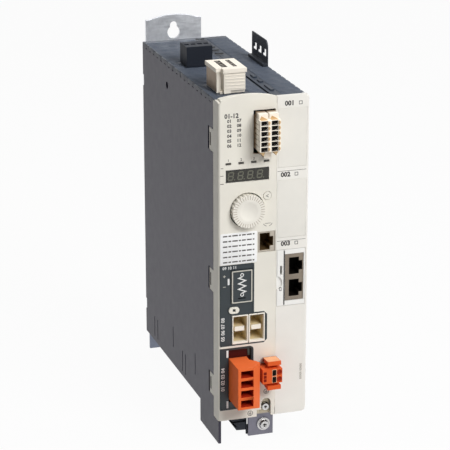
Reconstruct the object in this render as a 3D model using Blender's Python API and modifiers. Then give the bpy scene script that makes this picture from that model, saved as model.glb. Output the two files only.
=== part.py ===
"""A servo drive that hangs on a cabinet panel, built as an assembly of its separate pieces.

Metres, +Z up, +X to the right of someone who faces the front, +Y towards the panel.
The origin lies on the panel plane, midway across the drive, level with the underside of its housing.
"""

import math

import bmesh
import bpy
from mathutils import Matrix, Vector

# Fits and stock
SEAT = 0.0003                  # gap between neighbours that touch
OVERCUT = 0.001                # how far a cutter passes the face that it opens
LAP = 0.001                    # how deep two shapes of one piece run into each other
WALL = 0.002                   # moulded housing walls
COVER_SKIN = 0.0025            # moulded front covers
BOARD = 0.0016                 # circuit boards
PLATE = 0.002                  # sheet steel

# Body
DEPTH = 0.195                  # panel plane to front face
CARRIER_WIDTH = 0.0245         # column of option slots
COVER_SIDE = 0.012             # depth of the pale strip on the flanks
COVER_EDGE_RADIUS = 0.0018     # upright outer edges of the front
COVER_LIP = 0.002              # front covers stand this much above the roof
COVER_RETURN = 0.008           # depth of the covers' bottom return
COVER_EAR = 0.0073             # pale corner of the top beside the roof
ARCH_RISE = 0.0032             # crown of the front cover's top edge
CARRIER_CORNER = 0.004         # radius of the lower right corner
LEG_LENGTH = 0.045
LEG_DROP = 0.0178

# Columns of the front, left to right
EDGE_MARGIN = 0.001
PANEL_WIDTH = 0.0254
PANEL_TO_BRAKE = 0.0029
BRAKE_PLUG_WIDTH = 0.015
BRAKE_OVERHANG = 0.0008        # brake plug past the seam between the columns

# Fields of the front, bottom to top
BOTTOM_BAND = 0.0087
MOTOR_FIELD = 0.0483
PANEL_GAP = 0.002
DC_FIELD = 0.0235
RESISTOR_FIELD = 0.0385
LABEL_FIELD = 0.024
KNOB_FIELD = 0.032
DISPLAY_FIELD = 0.025
IO_FIELD = 0.039

# Cover latches on the flanks
LATCH_HEIGHT = 0.0165
LATCH_TAB = 0.0085             # the tab reaches this far past the strip
LATCH_SLOT = 0.003             # dark gap behind the tab
LOWER_LATCH = 0.024
MIDDLE_LATCH = 0.1055
UPPER_LATCH = 0.211

# Louvres and slits
VENT_PITCH = 0.0102
VENT_WIDTH = 0.0034
VENT_LAND = 0.004              # solid edge left beside a louvre
VENT_NOTCH = 0.0012            # how far a louvre runs down the flank
SLIT_WIDTH = 0.0013
SLIT_HEIGHT = 0.017
SLIT_BASE = 0.004
LOW_SLITS = (0.083, 0.0908, 0.1593, 0.168)     # from the front face
HIGH_SLITS = (0.0577, 0.1157)
HIGH_SLIT_LIFT = 0.0105
SIDE_HOLE_RADIUS = 0.0028
SIDE_HOLE_BEHIND = 0.126       # from the front face
SIDE_HOLE_BELOW = 0.018        # from the roof
REAR_NOTCH = 0.0034
REAR_NOTCH_HEIGHT = 0.009
SEAM_GROOVE = 0.0018
SEAM_CLIPS = ((0.022, 0.015), (0.0462, 0.0066), (0.06, 0.0082))    # from the front face, and length

# Back plate
TAB_INSET = 0.003              # tabs from the left flank
TAB_WIDTH = 0.045
UPPER_TAB = 0.017
UPPER_TAB_CROWN = 0.0034
LOWER_TAB = 0.0168
KEYHOLE_RADIUS = 0.005
KEYHOLE_SLOT_RADIUS = 0.0029
KEYHOLE_LIFT = 0.0062          # keyhole centre above the roof
KEYHOLE_RUN = 0.0055           # keyhole centre to the slot's end

# Boards behind the front
CONTROL_DEPTH = 0.017          # front face to the control board
TERMINAL_DEPTH = 0.024         # front face to the terminal board

# Operator field
DISPLAY_WIDTH = 0.0323
DISPLAY_HEIGHT = 0.0095
DISPLAY_LIFT = 0.0055          # window above the field's lower edge
WINDOW_THICKNESS = 0.0015
WINDOW_SINK = 0.0004
LIGHT_PITCH = 0.0095
LIGHT_WIDTH = 0.0036
LIGHT_HEIGHT = 0.0011
LIGHT_GAP = 0.0045             # lights above the display window
LIGHT_PROUD = 0.0002
LIGHT_BRIDGE = 0.002           # bar that carries the four light pipes
LIGHT_BRIDGE_DEPTH = 0.008     # bar behind the front face
KNOB_RADIUS = 0.0124
KNOB_GAP = 0.0007
KNOB_PROUD = 0.004
KNOB_SKIRT = 0.003
KNOB_FLUTES = 26
KNOB_FLUTE_DEPTH = 0.0007
KNOB_DISH_RADIUS = 0.0074
KNOB_DISH_DEPTH = 0.0013
KNOB_TRAVEL = 0.0008
SHAFT_RADIUS = 0.003
SHAFT_GRIP = 0.0025            # length of shaft inside the knob
ENCODER_SIZE = 0.013
ENCODER_DEPTH = 0.0067
BUSH_WALL = 0.0015
BUSH_LENGTH = 0.003
PLUNGER_LENGTH = 0.0017
KEY_RADIUS = 0.003
KEY_PROUD = 0.0004
KEY_LENGTH = 0.0094
KEY_TRAVEL = 0.0006
KEY_OFFSET = 0.015             # knob axis to key axis, across
KEY_RISE = 0.0095              # and up
SERVICE_JACK_WIDTH = 0.0126
SERVICE_JACK_HEIGHT = 0.015
SERVICE_JACK_MARGIN = 0.0005   # jack to the seam between the columns
SERVICE_JACK_LIFT = 0.0075

# Sockets for round-latched data plugs
JACK_PORT_WIDTH = 0.0102       # contact side to latch side
JACK_PORT_HEIGHT = 0.0129
JACK_LATCH_WIDTH = 0.0026
JACK_LATCH_HEIGHT = 0.0072
JACK_PORT_DEPTH = 0.013

# Signal plug
IO_PLUG_WIDTH = 0.0154
IO_ROWS = 6
IO_ROW_PITCH = 0.0038
IO_PROUD = 0.013
IO_SIDE_GAP = 0.0005
IO_LATCH_ROOM = 0.0045
IO_MARGIN = 0.001              # recess to the seam between the columns
IO_PLUG_BODY_REAR = 0.006      # rear of the plug's body behind the front face
IO_TAIL = 0.0055
IO_TAIL_INSET = 0.001
IO_HOLE_RADIUS = 0.0012
IO_HOLE_DEPTH = 0.008
IO_HOLE_SHARE = 0.52           # place of a wire hole across its column
IO_LATCH_HEIGHT = 0.0038
IO_NUB_WIDTH = 0.005
IO_NUB_DROP = 0.0063
IO_TOOTH_DEPTH = 0.0006

# Dark panels
PANEL_THICKNESS = 0.002
PANEL_SINK = 0.0003
PANEL_CHAMFER = 0.0025
WIDE_PANEL_WIDTH = 0.036
DC_SOCKET_WIDTH = 0.0121
DC_SOCKET_HEIGHT = 0.022
DC_SOCKET_GAP = 0.0006
DC_SOCKET_MARGIN = 0.0017      # right socket to the panel's right edge
DC_SOCKET_PROUD = 0.0005
DC_SOCKET_WALL = 0.0008
DC_SOCKET_SILL = 0.0015        # lower edge of a socket
DC_SOCKET_DEPTH = 0.017
DC_TONGUE_WIDTH = 0.0074
DC_TONGUE_HEIGHT = 0.0035
DC_TONGUE_SINK = 0.002
RESISTOR_COVER_WIDTH = 0.0158
RESISTOR_COVER_HEIGHT = 0.025
RESISTOR_COVER_LIFT = 0.009
RESISTOR_COVER_MARGIN = 0.0008
RESISTOR_COVER_PROUD = 0.0008
RESISTOR_COVER_RIM = 0.0011
RESISTOR_COVER_LEG = 0.004
PRY_SLIT_WIDTH = 0.006
PRY_SLIT_HEIGHT = 0.001
RESISTOR_HEADER_DEPTH = 0.012
CATCH_LENGTH = 0.008
CATCH_HEIGHT = 0.005
CATCH_HOLE = 0.0022
CATCH_THICKNESS = 0.0012
CATCH_LIFT = 0.0038
CATCH_OFFSET = 0.0106          # from the panel's left edge

# Motor plug
MOTOR_POLES = 4
MOTOR_POLE_PITCH = 0.00762
MOTOR_PLUG_WIDTH = 0.0138
MOTOR_PLUG_LIFT = 0.0078       # plug above the panel's lower edge
MOTOR_PROUD = 0.021
MOTOR_END_WALL = 0.0007        # beyond the first and the last pole
MOTOR_FACE_WIDTH = 0.0119
MOTOR_WING = 0.0075            # slanted wing to the right of the face
MOTOR_WING_SETBACK = 0.0085    # wing's edge behind the face
MOTOR_WING_TIP = 0.0038
MOTOR_WING_TAPER = 0.0018
MOTOR_WING_DROP = 0.004        # wing's edge below the face
MOTOR_PLUG_GAP = 0.0004
MOTOR_MARGIN = 0.0013          # opening to the panel's right edge
MOTOR_ROOM_BELOW = 0.0022
MOTOR_ROOM_ABOVE = 0.0068
MOTOR_ROOM_RIGHT = 0.0027
MOTOR_BODY_REAR = 0.0018
MOTOR_ENTRY_WIDTH = 0.0094
MOTOR_ENTRY_WALL = 0.0022      # wall between two entries
MOTOR_ENTRY_INSET = 0.0022
MOTOR_ENTRY_DEPTH = 0.013
MOTOR_TAIL = 0.009
MOTOR_TAIL_INSET = 0.0015

# Brake plug
BRAKE_LIFT = 0.0226            # plug above the motor panel's lower edge
BRAKE_PLUG_HEIGHT = 0.011
BRAKE_PROUD = 0.014
BRAKE_TAIL = 0.012
BRAKE_TAIL_INSET = 0.0024
BRAKE_LEVER_WIDTH = 0.0102
BRAKE_LEVER_OFFSET = 0.0018    # levers right of the plug's middle
BRAKE_LEVER_LENGTH = 0.0122
BRAKE_LEVER_GAP = 0.0024       # lever to the plug's body
BRAKE_LEVER_THICKNESS = 0.0032
BRAKE_LEVER_TAPER = 0.001      # a lever thins out by this much towards the cover
BRAKE_WEB_LENGTH = 0.004
BRAKE_WEB_INSET = 0.0015       # web from the sides of its lever
BRAKE_BUTTON = 0.0025          # width of a release button
BRAKE_BUTTON_HEIGHT = 0.004
BRAKE_BUTTON_PITCH = 0.0054
BRAKE_BUTTON_PROUD = 0.0008
BRAKE_BUTTON_LENGTH = 0.0036
BRAKE_BUTTON_TRAVEL = 0.0008
BRAKE_HOLE_RADIUS = 0.0017
BRAKE_BUTTON_OFFSET = 0.0014   # buttons right of the plug's middle
BRAKE_HOLE_OFFSET = 0.0053     # wire holes from the plug's middle
BRAKE_HOLE_DEPTH = 0.007
BRAKE_HEADER_WALL = 0.0012

# Plugs on the roof
HEADER_WALL = 0.0015
TAIL_LENGTH = 0.008
TAIL_INSET = 0.002
MAINS_LEFT = 0.009             # plug from the left flank
MAINS_WIDTH = 0.02
MAINS_DEPTH = 0.017
MAINS_HEIGHT = 0.0155
MAINS_FROM_PANEL = 0.074       # rear of the plug from the panel plane
MAINS_POLES = 4
MAINS_ENTRY = 0.0036
SUPPLY_LEFT = 0.0076
SUPPLY_WIDTH = 0.0201
SUPPLY_DEPTH = 0.028
SUPPLY_HEIGHT = 0.0182
SUPPLY_FROM_FRONT = 0.023
SUPPLY_STEP = 0.0042           # front left corner of the plug is stepped back
SUPPLY_STEP_DEPTH = 0.004
SUPPLY_LIP = 0.0009
SUPPLY_LIP_HEIGHT = 0.003
SUPPLY_POLES = 4
SUPPLY_ENTRY = 0.0026          # width of a wire entry
SUPPLY_ENTRY_LENGTH = 0.0036
SUPPLY_ENTRY_PITCH = 0.0049
SUPPLY_ENTRY_MARGIN = 0.0082   # first entry's middle behind the plug's front
SUPPLY_ROW_INSET = 0.0024      # left row of entries beside the step
SUPPLY_ROW_PITCH = 0.0078
SUPPLY_FOOT = 0.005            # front left foot that the plug's face stands on
SUPPLY_UNDERCUT = 0.002
SUPPLY_UNDERCUT_DEPTH = 0.0015
ENTRY_DEPTH = 0.008

# Option slots
SLOT_TOP_MARGIN = 0.0073
SLOT_PITCH = 0.0526
SLOT_HEIGHT = 0.0435
SLOT_LEFT_MARGIN = 0.0008
SLOT_RIGHT_MARGIN = 0.0018
SLOT_TONGUE = 0.005
SLOT_TONGUE_THICKNESS = 0.0015
MODULE_LENGTH = 0.1
MODULE_JACK_WIDTH = 0.0138
MODULE_JACK_HEIGHT = 0.0354
MODULE_JACK_DEPTH = 0.018
MODULE_JACK_MARGIN = 0.0034    # jacks to the right flank
MODULE_PORT_PITCH = 0.0169
MODULE_PORT_RIM = 0.0006       # latch side of a port to the jacks' right face
MODULE_GRIP_RADIUS = 0.0055
MODULE_GRIP_INSET = 0.0015     # grip's centre left of the face
MODULE_GRIP_DROP = 0.0035
MODULE_LIGHT_WIDTH = 0.0016
MODULE_LIGHT_HEIGHT = 0.0069
MODULE_LIGHT_LIFT = 0.0059     # above the face's middle
MODULE_LIGHT_OFFSET = 0.0031   # from the face's left edge
MODULE_GROOVE = 0.0005
CARD_EDGE = 0.002              # board edges inside the slot
RACK_SKIN = 0.0015
RACK_GAP = 0.0005
RAIL_LIP = 0.002
RAIL_GRIP = 0.001
RAIL_THICKNESS = 0.0028
SOCKET_DEPTH = 0.006
SOCKET_HEIGHT = 0.03
SOCKET_LIP = 0.003

# Roof comb
COMB_LENGTH = 0.035
COMB_HEIGHT = 0.0195
COMB_THICKNESS = 0.001
COMB_FROM_PANEL = 0.0715
COMB_INSET = 0.0005
COMB_FOOT = 0.004
COMB_SLOTS = 3
COMB_SLOT_WIDTH = 0.0087
COMB_SLOT_HEIGHT = 0.0062
COMB_SLOT_PITCH = 0.0109
COMB_SLOT_LIFT = 0.006
COMB_CORNER = 0.005

# Earth plate and cable rest under the front
EARTH_LEFT = -0.0077
EARTH_RIGHT = 0.0116
EARTH_DROP = 0.0194
EARTH_TONGUE_LEFT = -0.004
EARTH_TONGUE_RIGHT = 0.0075
EARTH_TONGUE_TOP = 0.018
EARTH_ARCH_WIDTH = 0.0075
EARTH_ARCH_TOP = 0.0139
EARTH_ARCH_X = 0.0028
EARTH_FOOT_LEFT = -0.0044      # the arch widens to the left at its foot
EARTH_FOOT_HEIGHT = 0.0052
UPPER_SCREW_Z = 0.0064
LOWER_SCREW_X = 0.0039
LOWER_SCREW_Z = -0.0106
EARTH_SHANK = 0.0019
EARTH_SHANK_LENGTH = 0.006
UPPER_HEAD_RADIUS = 0.0034
UPPER_HEAD = 0.0075            # the upper head reaches into the arch
LOWER_HEAD_RADIUS = 0.0038
SCREW_HEAD = 0.0028
WASHER_RADIUS = 0.005
WASHER = 0.001
SCREW_RECESS = 0.0011
REST_LEFT = -0.022
REST_RIGHT = -0.0085
REST_DROP = 0.0125
REST_LENGTH = 0.026
REST_RIB = 0.0016
REST_RIB_PITCH = 0.004

# Power part
FAN_SIZE = 0.04
FAN_HEIGHT = 0.015
FAN_BORE_RADIUS = 0.0185
FAN_HUB_RADIUS = 0.008
FAN_TIP_GAP = 0.001
FAN_BLADES = 7
FAN_BLADE_CHORD = 0.009
FAN_BLADE_THICKNESS = 0.001
FAN_BLADE_PITCH_ANGLE = math.radians(42)
FAN_SPIDER = 0.003
FAN_STRUT = 0.003
FAN_PIN_RADIUS = 0.0015
FIN_DEPTH = 0.036
FIN_SIDE_COUNT = 5             # fins on each side of the middle rib
FIN_THICKNESS = 0.0018
SINK_BASE = 0.006
SINK_RIB = 0.0085              # solid rib in the middle, for the screws
SINK_TOP_GAP = 0.006
SINK_SCREW_LOW = 0.045
SINK_SCREW_HIGH = 0.2
SINK_SCREW_HEAD_RADIUS = 0.0036
SINK_SCREW_HEAD = 0.0014
SINK_SCREW_RADIUS = 0.0019
SINK_SCREW_LENGTH = 0.012
POWER_MODULE_THICKNESS = 0.012
POWER_MODULE_WIDTH = 0.044
POWER_MODULE_HEIGHT = 0.065
RECTIFIER_WIDTH = 0.03
RECTIFIER_HEIGHT = 0.03
POWER_MODULE_BASE = 0.05
RECTIFIER_BASE = 0.14
POWER_BOARD_BASE = 0.022
POWER_BOARD_TOP_GAP = 0.012
PILLAR_RADIUS = 0.003
CAPACITOR_RADIUS = 0.0165
CAPACITOR_LENGTH = 0.045
CAPACITOR_COUNT = 2
CAPACITOR_PITCH = 0.04
CAPACITOR_BASE = 0.06
RIBBON_WIDTH = 0.018
RIBBON_THICKNESS = 0.001
RIBBON_BASE = 0.146
RIBBON_BEND = 0.002

# Faces and planes that follow from the sizes above
MAIN_WIDTH = EDGE_MARGIN + PANEL_WIDTH + PANEL_TO_BRAKE + BRAKE_PLUG_WIDTH - BRAKE_OVERHANG
WIDTH = MAIN_WIDTH + CARRIER_WIDTH
LEFT = -WIDTH / 2
RIGHT = WIDTH / 2
SPLIT = LEFT + MAIN_WIDTH
MAIN_RIGHT = SPLIT - SEAT / 2
CARRIER_LEFT = SPLIT + SEAT / 2
MAIN_MIDDLE = LEFT + MAIN_WIDTH / 2
FRONT = -DEPTH
FLANK_FRONT = FRONT + COVER_SIDE
SKIN_REAR = FRONT + COVER_SKIN
SHELL_REAR = -PLATE - SEAT
MOTOR_BASE = BOTTOM_BAND
DC_BASE = MOTOR_BASE + MOTOR_FIELD + PANEL_GAP
RESISTOR_BASE = DC_BASE + DC_FIELD
LABEL_BASE = RESISTOR_BASE + RESISTOR_FIELD
KNOB_BASE = LABEL_BASE + LABEL_FIELD
DISPLAY_BASE = KNOB_BASE + KNOB_FIELD
IO_BASE = DISPLAY_BASE + DISPLAY_FIELD
HEIGHT = IO_BASE + IO_FIELD
PANEL_LEFT = LEFT + EDGE_MARGIN
PANEL_RIGHT = PANEL_LEFT + PANEL_WIDTH
PANEL_FRONT = FRONT + PANEL_SINK
PANEL_REAR = PANEL_FRONT + PANEL_THICKNESS
CONTROL_FACE = FRONT + CONTROL_DEPTH
CONTROL_SEAT = CONTROL_FACE - SEAT
TERMINAL_SEAT = FRONT + TERMINAL_DEPTH - SEAT
KNOB_X = MAIN_MIDDLE
KNOB_Z = KNOB_BASE + KNOB_FIELD / 2
LATCH_LEVELS = (LOWER_LATCH, MIDDLE_LATCH, UPPER_LATCH)
SUPPLY_Y = (FRONT + SUPPLY_FROM_FRONT, FRONT + SUPPLY_FROM_FRONT + SUPPLY_DEPTH)
MAINS_Y = (-MAINS_FROM_PANEL - MAINS_DEPTH, -MAINS_FROM_PANEL)
SUPPLY_X = (LEFT + SUPPLY_LEFT, LEFT + SUPPLY_LEFT + SUPPLY_WIDTH)
MAINS_X = (LEFT + MAINS_LEFT, LEFT + MAINS_LEFT + MAINS_WIDTH)

# How a flat outline is laid: its two axes and the axis that it is extruded along
PLANES = {
    "XY": ((0, 0, 0), 2),
    "XZ": ((math.pi / 2, 0, 0), 1),
    "YZ": ((math.pi / 2, 0, math.pi / 2), 0),
}


def clear_scene():
    """Empty the scene of what it opened with."""
    for thing in list(bpy.data.objects):
        bpy.data.objects.remove(thing, do_unlink=True)


def new_collection(name):
    """A collection in the scene, for parts or for cutters."""
    collection = bpy.data.collections.new(name)
    bpy.context.scene.collection.children.link(collection)
    return collection


def finish(name, colour, roughness, metallic=0.0):
    """A plain material with a colour, a roughness and a metallic value."""
    look = bpy.data.materials.new(name)
    look.use_nodes = True
    shader = look.node_tree.nodes["Principled BSDF"]
    shader.inputs["Base Color"].default_value = (*colour, 1.0)
    shader.inputs["Roughness"].default_value = roughness
    shader.inputs["Metallic"].default_value = metallic
    return look


clear_scene()
PARTS = new_collection("servo_drive")
CUTTERS = new_collection("servo_drive_cutters")
CUTTERS.hide_render = True

DARK_GREY = finish("dark_grey_moulding", (0.105, 0.108, 0.115), 0.6)
PALE = finish("pale_moulding", (0.78, 0.76, 0.70), 0.5)
SLATE = finish("slate_moulding", (0.045, 0.055, 0.075), 0.55)
CREAM = finish("cream_moulding", (0.80, 0.76, 0.64), 0.5)
ORANGE = finish("orange_moulding", (0.83, 0.17, 0.03), 0.5)
MAROON = finish("maroon_moulding", (0.16, 0.03, 0.02), 0.6)
BLACK = finish("black_moulding", (0.02, 0.02, 0.022), 0.55)
SMOKED = finish("smoked_lens", (0.04, 0.042, 0.035), 0.15)
CLEAR = finish("light_pipe", (0.75, 0.74, 0.68), 0.2)
STEEL = finish("zinc_plated_steel", (0.62, 0.63, 0.65), 0.35, 1.0)
ALUMINIUM = finish("extruded_aluminium", (0.72, 0.73, 0.75), 0.4, 1.0)
TINNED = finish("tinned_shield", (0.55, 0.56, 0.58), 0.35, 1.0)
GREEN = finish("circuit_board", (0.02, 0.16, 0.07), 0.5)
BLUE = finish("capacitor_sleeve", (0.03, 0.06, 0.22), 0.4)
GREY = finish("ribbon_insulation", (0.45, 0.46, 0.48), 0.6)


def add_object(name, mesh, collection, at=(0, 0, 0), turn=(0, 0, 0)):
    """Put a mesh in a collection as an object with a place and a turn."""
    thing = bpy.data.objects.new(name, mesh)
    thing.location = at
    thing.rotation_euler = turn
    collection.objects.link(thing)
    return thing


def part(name, mesh, look, at=(0, 0, 0), turn=(0, 0, 0)):
    """A named piece of the drive with its material, hung on the drive's origin."""
    mesh.materials.clear()
    mesh.materials.append(look)
    piece = add_object(name, mesh, PARTS, at, turn)
    piece.parent = ORIGIN
    return piece


def cutter(name, mesh, at=(0, 0, 0), turn=(0, 0, 0)):
    """A helper shape that is cut from, or joined to, a piece."""
    tool = add_object(name, mesh, CUTTERS, at, turn)
    tool.hide_render = True
    tool.display_type = "WIRE"
    return tool


def combine(piece, tool, operation):
    """Run a cutter against a piece with an exact Boolean."""
    step = piece.modifiers.new(tool.name, "BOOLEAN")
    step.operation = operation
    step.solver = "EXACT"
    step.object = tool


def cut(piece, *tools):
    """Take each cutter out of a piece."""
    for tool in tools:
        combine(piece, tool, "DIFFERENCE")


def join(piece, *tools):
    """Add each shape to a piece, as one body."""
    for tool in tools:
        combine(piece, tool, "UNION")


def mesh_from(shape, name):
    """Turn a bmesh into a mesh and free it."""
    mesh = bpy.data.meshes.new(name)
    shape.to_mesh(mesh)
    shape.free()
    return mesh


def boxes_mesh(name, spans):
    """Separate boxes in one mesh, each between two corners."""
    shape = bmesh.new()
    for low, high in spans:
        size = Vector(high) - Vector(low)
        middle = (Vector(high) + Vector(low)) / 2
        place = Matrix.Translation(middle) @ Matrix.Diagonal((*size, 1))
        bmesh.ops.create_cube(shape, size=1.0, matrix=place)
    return mesh_from(shape, name)


def box_mesh(name, low, high):
    """One box between two corners, centred on its own origin."""
    half = (Vector(high) - Vector(low)) / 2
    return boxes_mesh(name, [(-half, half)])


def middle_of(low, high):
    """Midpoint of two corners."""
    return (Vector(low) + Vector(high)) / 2


def brick(name, low, high, look):
    """A piece that is one box between two corners."""
    return part(name, box_mesh(name, low, high), look, middle_of(low, high))


def brick_cutter(name, low, high):
    """A cutter that is one box between two corners."""
    return cutter(name, box_mesh(name, low, high), middle_of(low, high))


def boxes_cutter(name, spans):
    """A cutter of separate boxes."""
    return cutter(name, boxes_mesh(name, spans))


def rod_mesh(name, radius, length, sides):
    """A capped cylinder along its own Z, centred on its origin."""
    shape = bmesh.new()
    bmesh.ops.create_cone(
        shape, cap_ends=True, segments=sides, radius1=radius, radius2=radius, depth=length
    )
    mesh = mesh_from(shape, name)
    mesh.shade_smooth()
    mesh.set_sharp_from_angle(angle=math.radians(40))
    return mesh


def rods_mesh(name, radius, length, sides, places, turn=(math.pi / 2, 0, 0)):
    """Separate capped cylinders in one mesh, along Y unless turned another way."""
    shape = bmesh.new()
    for place in places:
        spot = Matrix.Translation(place) @ Matrix.Rotation(turn[0], 4, "X")
        bmesh.ops.create_cone(
            shape, cap_ends=True, segments=sides, radius1=radius, radius2=radius, depth=length, matrix=spot
        )
    mesh = mesh_from(shape, name)
    mesh.shade_smooth()
    mesh.set_sharp_from_angle(angle=math.radians(40))
    return mesh


def outline_mesh(name, outline, holes, thickness):
    """A flat outline with holes, filled and extruded evenly to both sides of its plane."""
    flat = bpy.data.curves.new(name, "CURVE")
    flat.dimensions = "2D"
    flat.fill_mode = "BOTH"
    flat.extrude = thickness / 2
    for loop in (outline, *holes):
        spline = flat.splines.new("POLY")
        spline.points.add(len(loop) - 1)
        for point, (across, along) in zip(spline.points, loop):
            point.co = (across, along, 0, 1)
        spline.use_cyclic_u = True
    holder = add_object(name + "_outline", flat, CUTTERS)
    bpy.context.view_layer.update()
    graph = bpy.context.evaluated_depsgraph_get()
    mesh = bpy.data.meshes.new_from_object(holder.evaluated_get(graph))
    bpy.data.objects.remove(holder, do_unlink=True)
    shape = bmesh.new()
    shape.from_mesh(mesh)
    bmesh.ops.remove_doubles(shape, verts=shape.verts, dist=1e-6)
    bmesh.ops.recalc_face_normals(shape, faces=shape.faces)
    shape.to_mesh(mesh)
    shape.free()
    mesh.name = name
    return mesh


def hull_cutter(name, points):
    """A cutter that is the hull of some points."""
    shape = bmesh.new()
    for point in points:
        shape.verts.new(point)
    bmesh.ops.convex_hull(shape, input=shape.verts)
    bmesh.ops.recalc_face_normals(shape, faces=shape.faces)
    return cutter(name, mesh_from(shape, name))


def laid(plane, low, high):
    """Place and turn for an outline on a plane, extruded from low to high."""
    turn, axis = PLANES[plane]
    at = [0.0, 0.0, 0.0]
    at[axis] = (low + high) / 2
    return at, turn


def slab(name, plane, outline, low, high, look, holes=()):
    """A piece that is one outline extruded from low to high."""
    return part(name, outline_mesh(name, outline, holes, high - low), look, *laid(plane, low, high))


def slab_cutter(name, plane, outline, low, high, holes=()):
    """A cutter that is one outline extruded from low to high."""
    return cutter(name, outline_mesh(name, outline, holes, high - low), *laid(plane, low, high))


def rectangle(left, right, low, high):
    """Corners of a rectangle, counter-clockwise."""
    return [(left, low), (right, low), (right, high), (left, high)]


def arc(centre, radius, start, end, steps):
    """Points along an arc, with both ends."""
    turns = [math.radians(start + (end - start) * step / steps) for step in range(steps + 1)]
    return [(centre[0] + radius * math.cos(a), centre[1] + radius * math.sin(a)) for a in turns]


def turned_mesh(name, profile, steps):
    """A profile of (radius, height), outer side running down, turned about Z."""
    wire = bpy.data.meshes.new(name)
    points = [(radius, 0, height) for radius, height in profile]
    wire.from_pydata(points, [(i, i + 1) for i in range(len(points) - 1)], [])
    holder = add_object(name + "_profile", wire, CUTTERS)
    lathe = holder.modifiers.new("lathe", "SCREW")
    lathe.steps = steps
    lathe.render_steps = steps
    lathe.use_merge_vertices = True
    lathe.merge_threshold = 0.00001
    bpy.context.view_layer.update()
    graph = bpy.context.evaluated_depsgraph_get()
    mesh = bpy.data.meshes.new_from_object(holder.evaluated_get(graph))
    bpy.data.objects.remove(holder, do_unlink=True)
    shape = bmesh.new()
    shape.from_mesh(mesh)
    bmesh.ops.remove_doubles(shape, verts=shape.verts, dist=1e-6)
    shape.to_mesh(mesh)
    shape.free()
    mesh.name = name
    mesh.shade_smooth()
    mesh.set_sharp_from_angle(angle=math.radians(35))
    return mesh


def empty(name, at=(0, 0, 0)):
    """An axis or origin mark that pieces hang on."""
    mark = add_object(name, None, PARTS, at)
    mark.empty_display_size = 0.01
    return mark


def hang(piece, axis_mark):
    """Hang a piece on a joint's axis mark, without moving it."""
    piece.parent = axis_mark
    piece.location = Vector(piece.location) - Vector(axis_mark.location)


ORIGIN = empty("drive_origin")

# Turns a shape that was made along +Z to face the front, or to face the panel
TO_FRONT = (math.pi / 2, 0, 0)
TO_PANEL = (-math.pi / 2, 0, 0)


def louvre_rows(first, last):
    """Middles of the louvres that fit between two depths, at an even pitch."""
    count = int((last - first) / VENT_PITCH) + 1
    slack = (last - first - (count - 1) * VENT_PITCH) / 2
    return [first + slack + VENT_PITCH * row for row in range(count)]


def near(row, span):
    """Whether a louvre would run into a plug that covers this depth."""
    return span[0] - VENT_WIDTH < row < span[1] + VENT_WIDTH


def roof_louvres():
    """Louvres of the connector column's roof, left out where a plug stands."""
    spans = []
    floor = HEIGHT - WALL - VENT_NOTCH
    for row in louvre_rows(FLANK_FRONT + VENT_LAND, SHELL_REAR - VENT_LAND * 2):
        low_y, high_y = row - VENT_WIDTH / 2, row + VENT_WIDTH / 2
        runs = [(LEFT - OVERCUT, MAIN_RIGHT - VENT_LAND)]
        for plug_x, plug_y in ((SUPPLY_X, SUPPLY_Y), (MAINS_X, MAINS_Y)):
            if near(row, plug_y):
                runs = [
                    (LEFT - OVERCUT, plug_x[0] - VENT_LAND / 2),
                    (plug_x[1] + VENT_LAND / 2, MAIN_RIGHT - VENT_LAND),
                ]
        spans += [((low_x, low_y, floor), (high_x, high_y, HEIGHT + OVERCUT)) for low_x, high_x in runs]
    return spans


def floor_louvres(left, right):
    """Louvres of a floor, behind the leg."""
    rows = louvre_rows(FRONT + LEG_LENGTH + VENT_PITCH, SHELL_REAR - VENT_LAND * 3)
    return [
        ((left, row - VENT_WIDTH / 2, -OVERCUT), (right, row + VENT_WIDTH / 2, WALL + OVERCUT))
        for row in rows
    ]


def latch_notches(outer, inner):
    """Notches in a flank's front edge for the cover's latch tabs."""
    rear = FLANK_FRONT + LATCH_TAB + LATCH_SLOT
    low_x, high_x = min(outer, inner), max(outer, inner)
    half = LATCH_HEIGHT / 2 + SEAT
    return [
        ((low_x, FLANK_FRONT - OVERCUT, level - half), (high_x, rear, level + half))
        for level in LATCH_LEVELS
    ]


def flank_slits(outer, inner):
    """Narrow upright slits low on a flank, and notches in its rear edge."""
    low_x, high_x = min(outer, inner), max(outer, inner)
    spans = []
    for places, base in ((LOW_SLITS, SLIT_BASE), (HIGH_SLITS, SLIT_BASE + HIGH_SLIT_LIFT)):
        for behind in places:
            low = (low_x, FRONT + behind - SLIT_WIDTH / 2, base)
            spans.append((low, (high_x, FRONT + behind + SLIT_WIDTH / 2, base + SLIT_HEIGHT)))
    for level in (LOWER_LATCH, UPPER_LATCH):
        low = (low_x, SHELL_REAR - REAR_NOTCH, level - REAR_NOTCH_HEIGHT / 2)
        spans.append((low, (high_x, SHELL_REAR + OVERCUT, level + REAR_NOTCH_HEIGHT / 2)))
    return spans


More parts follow.
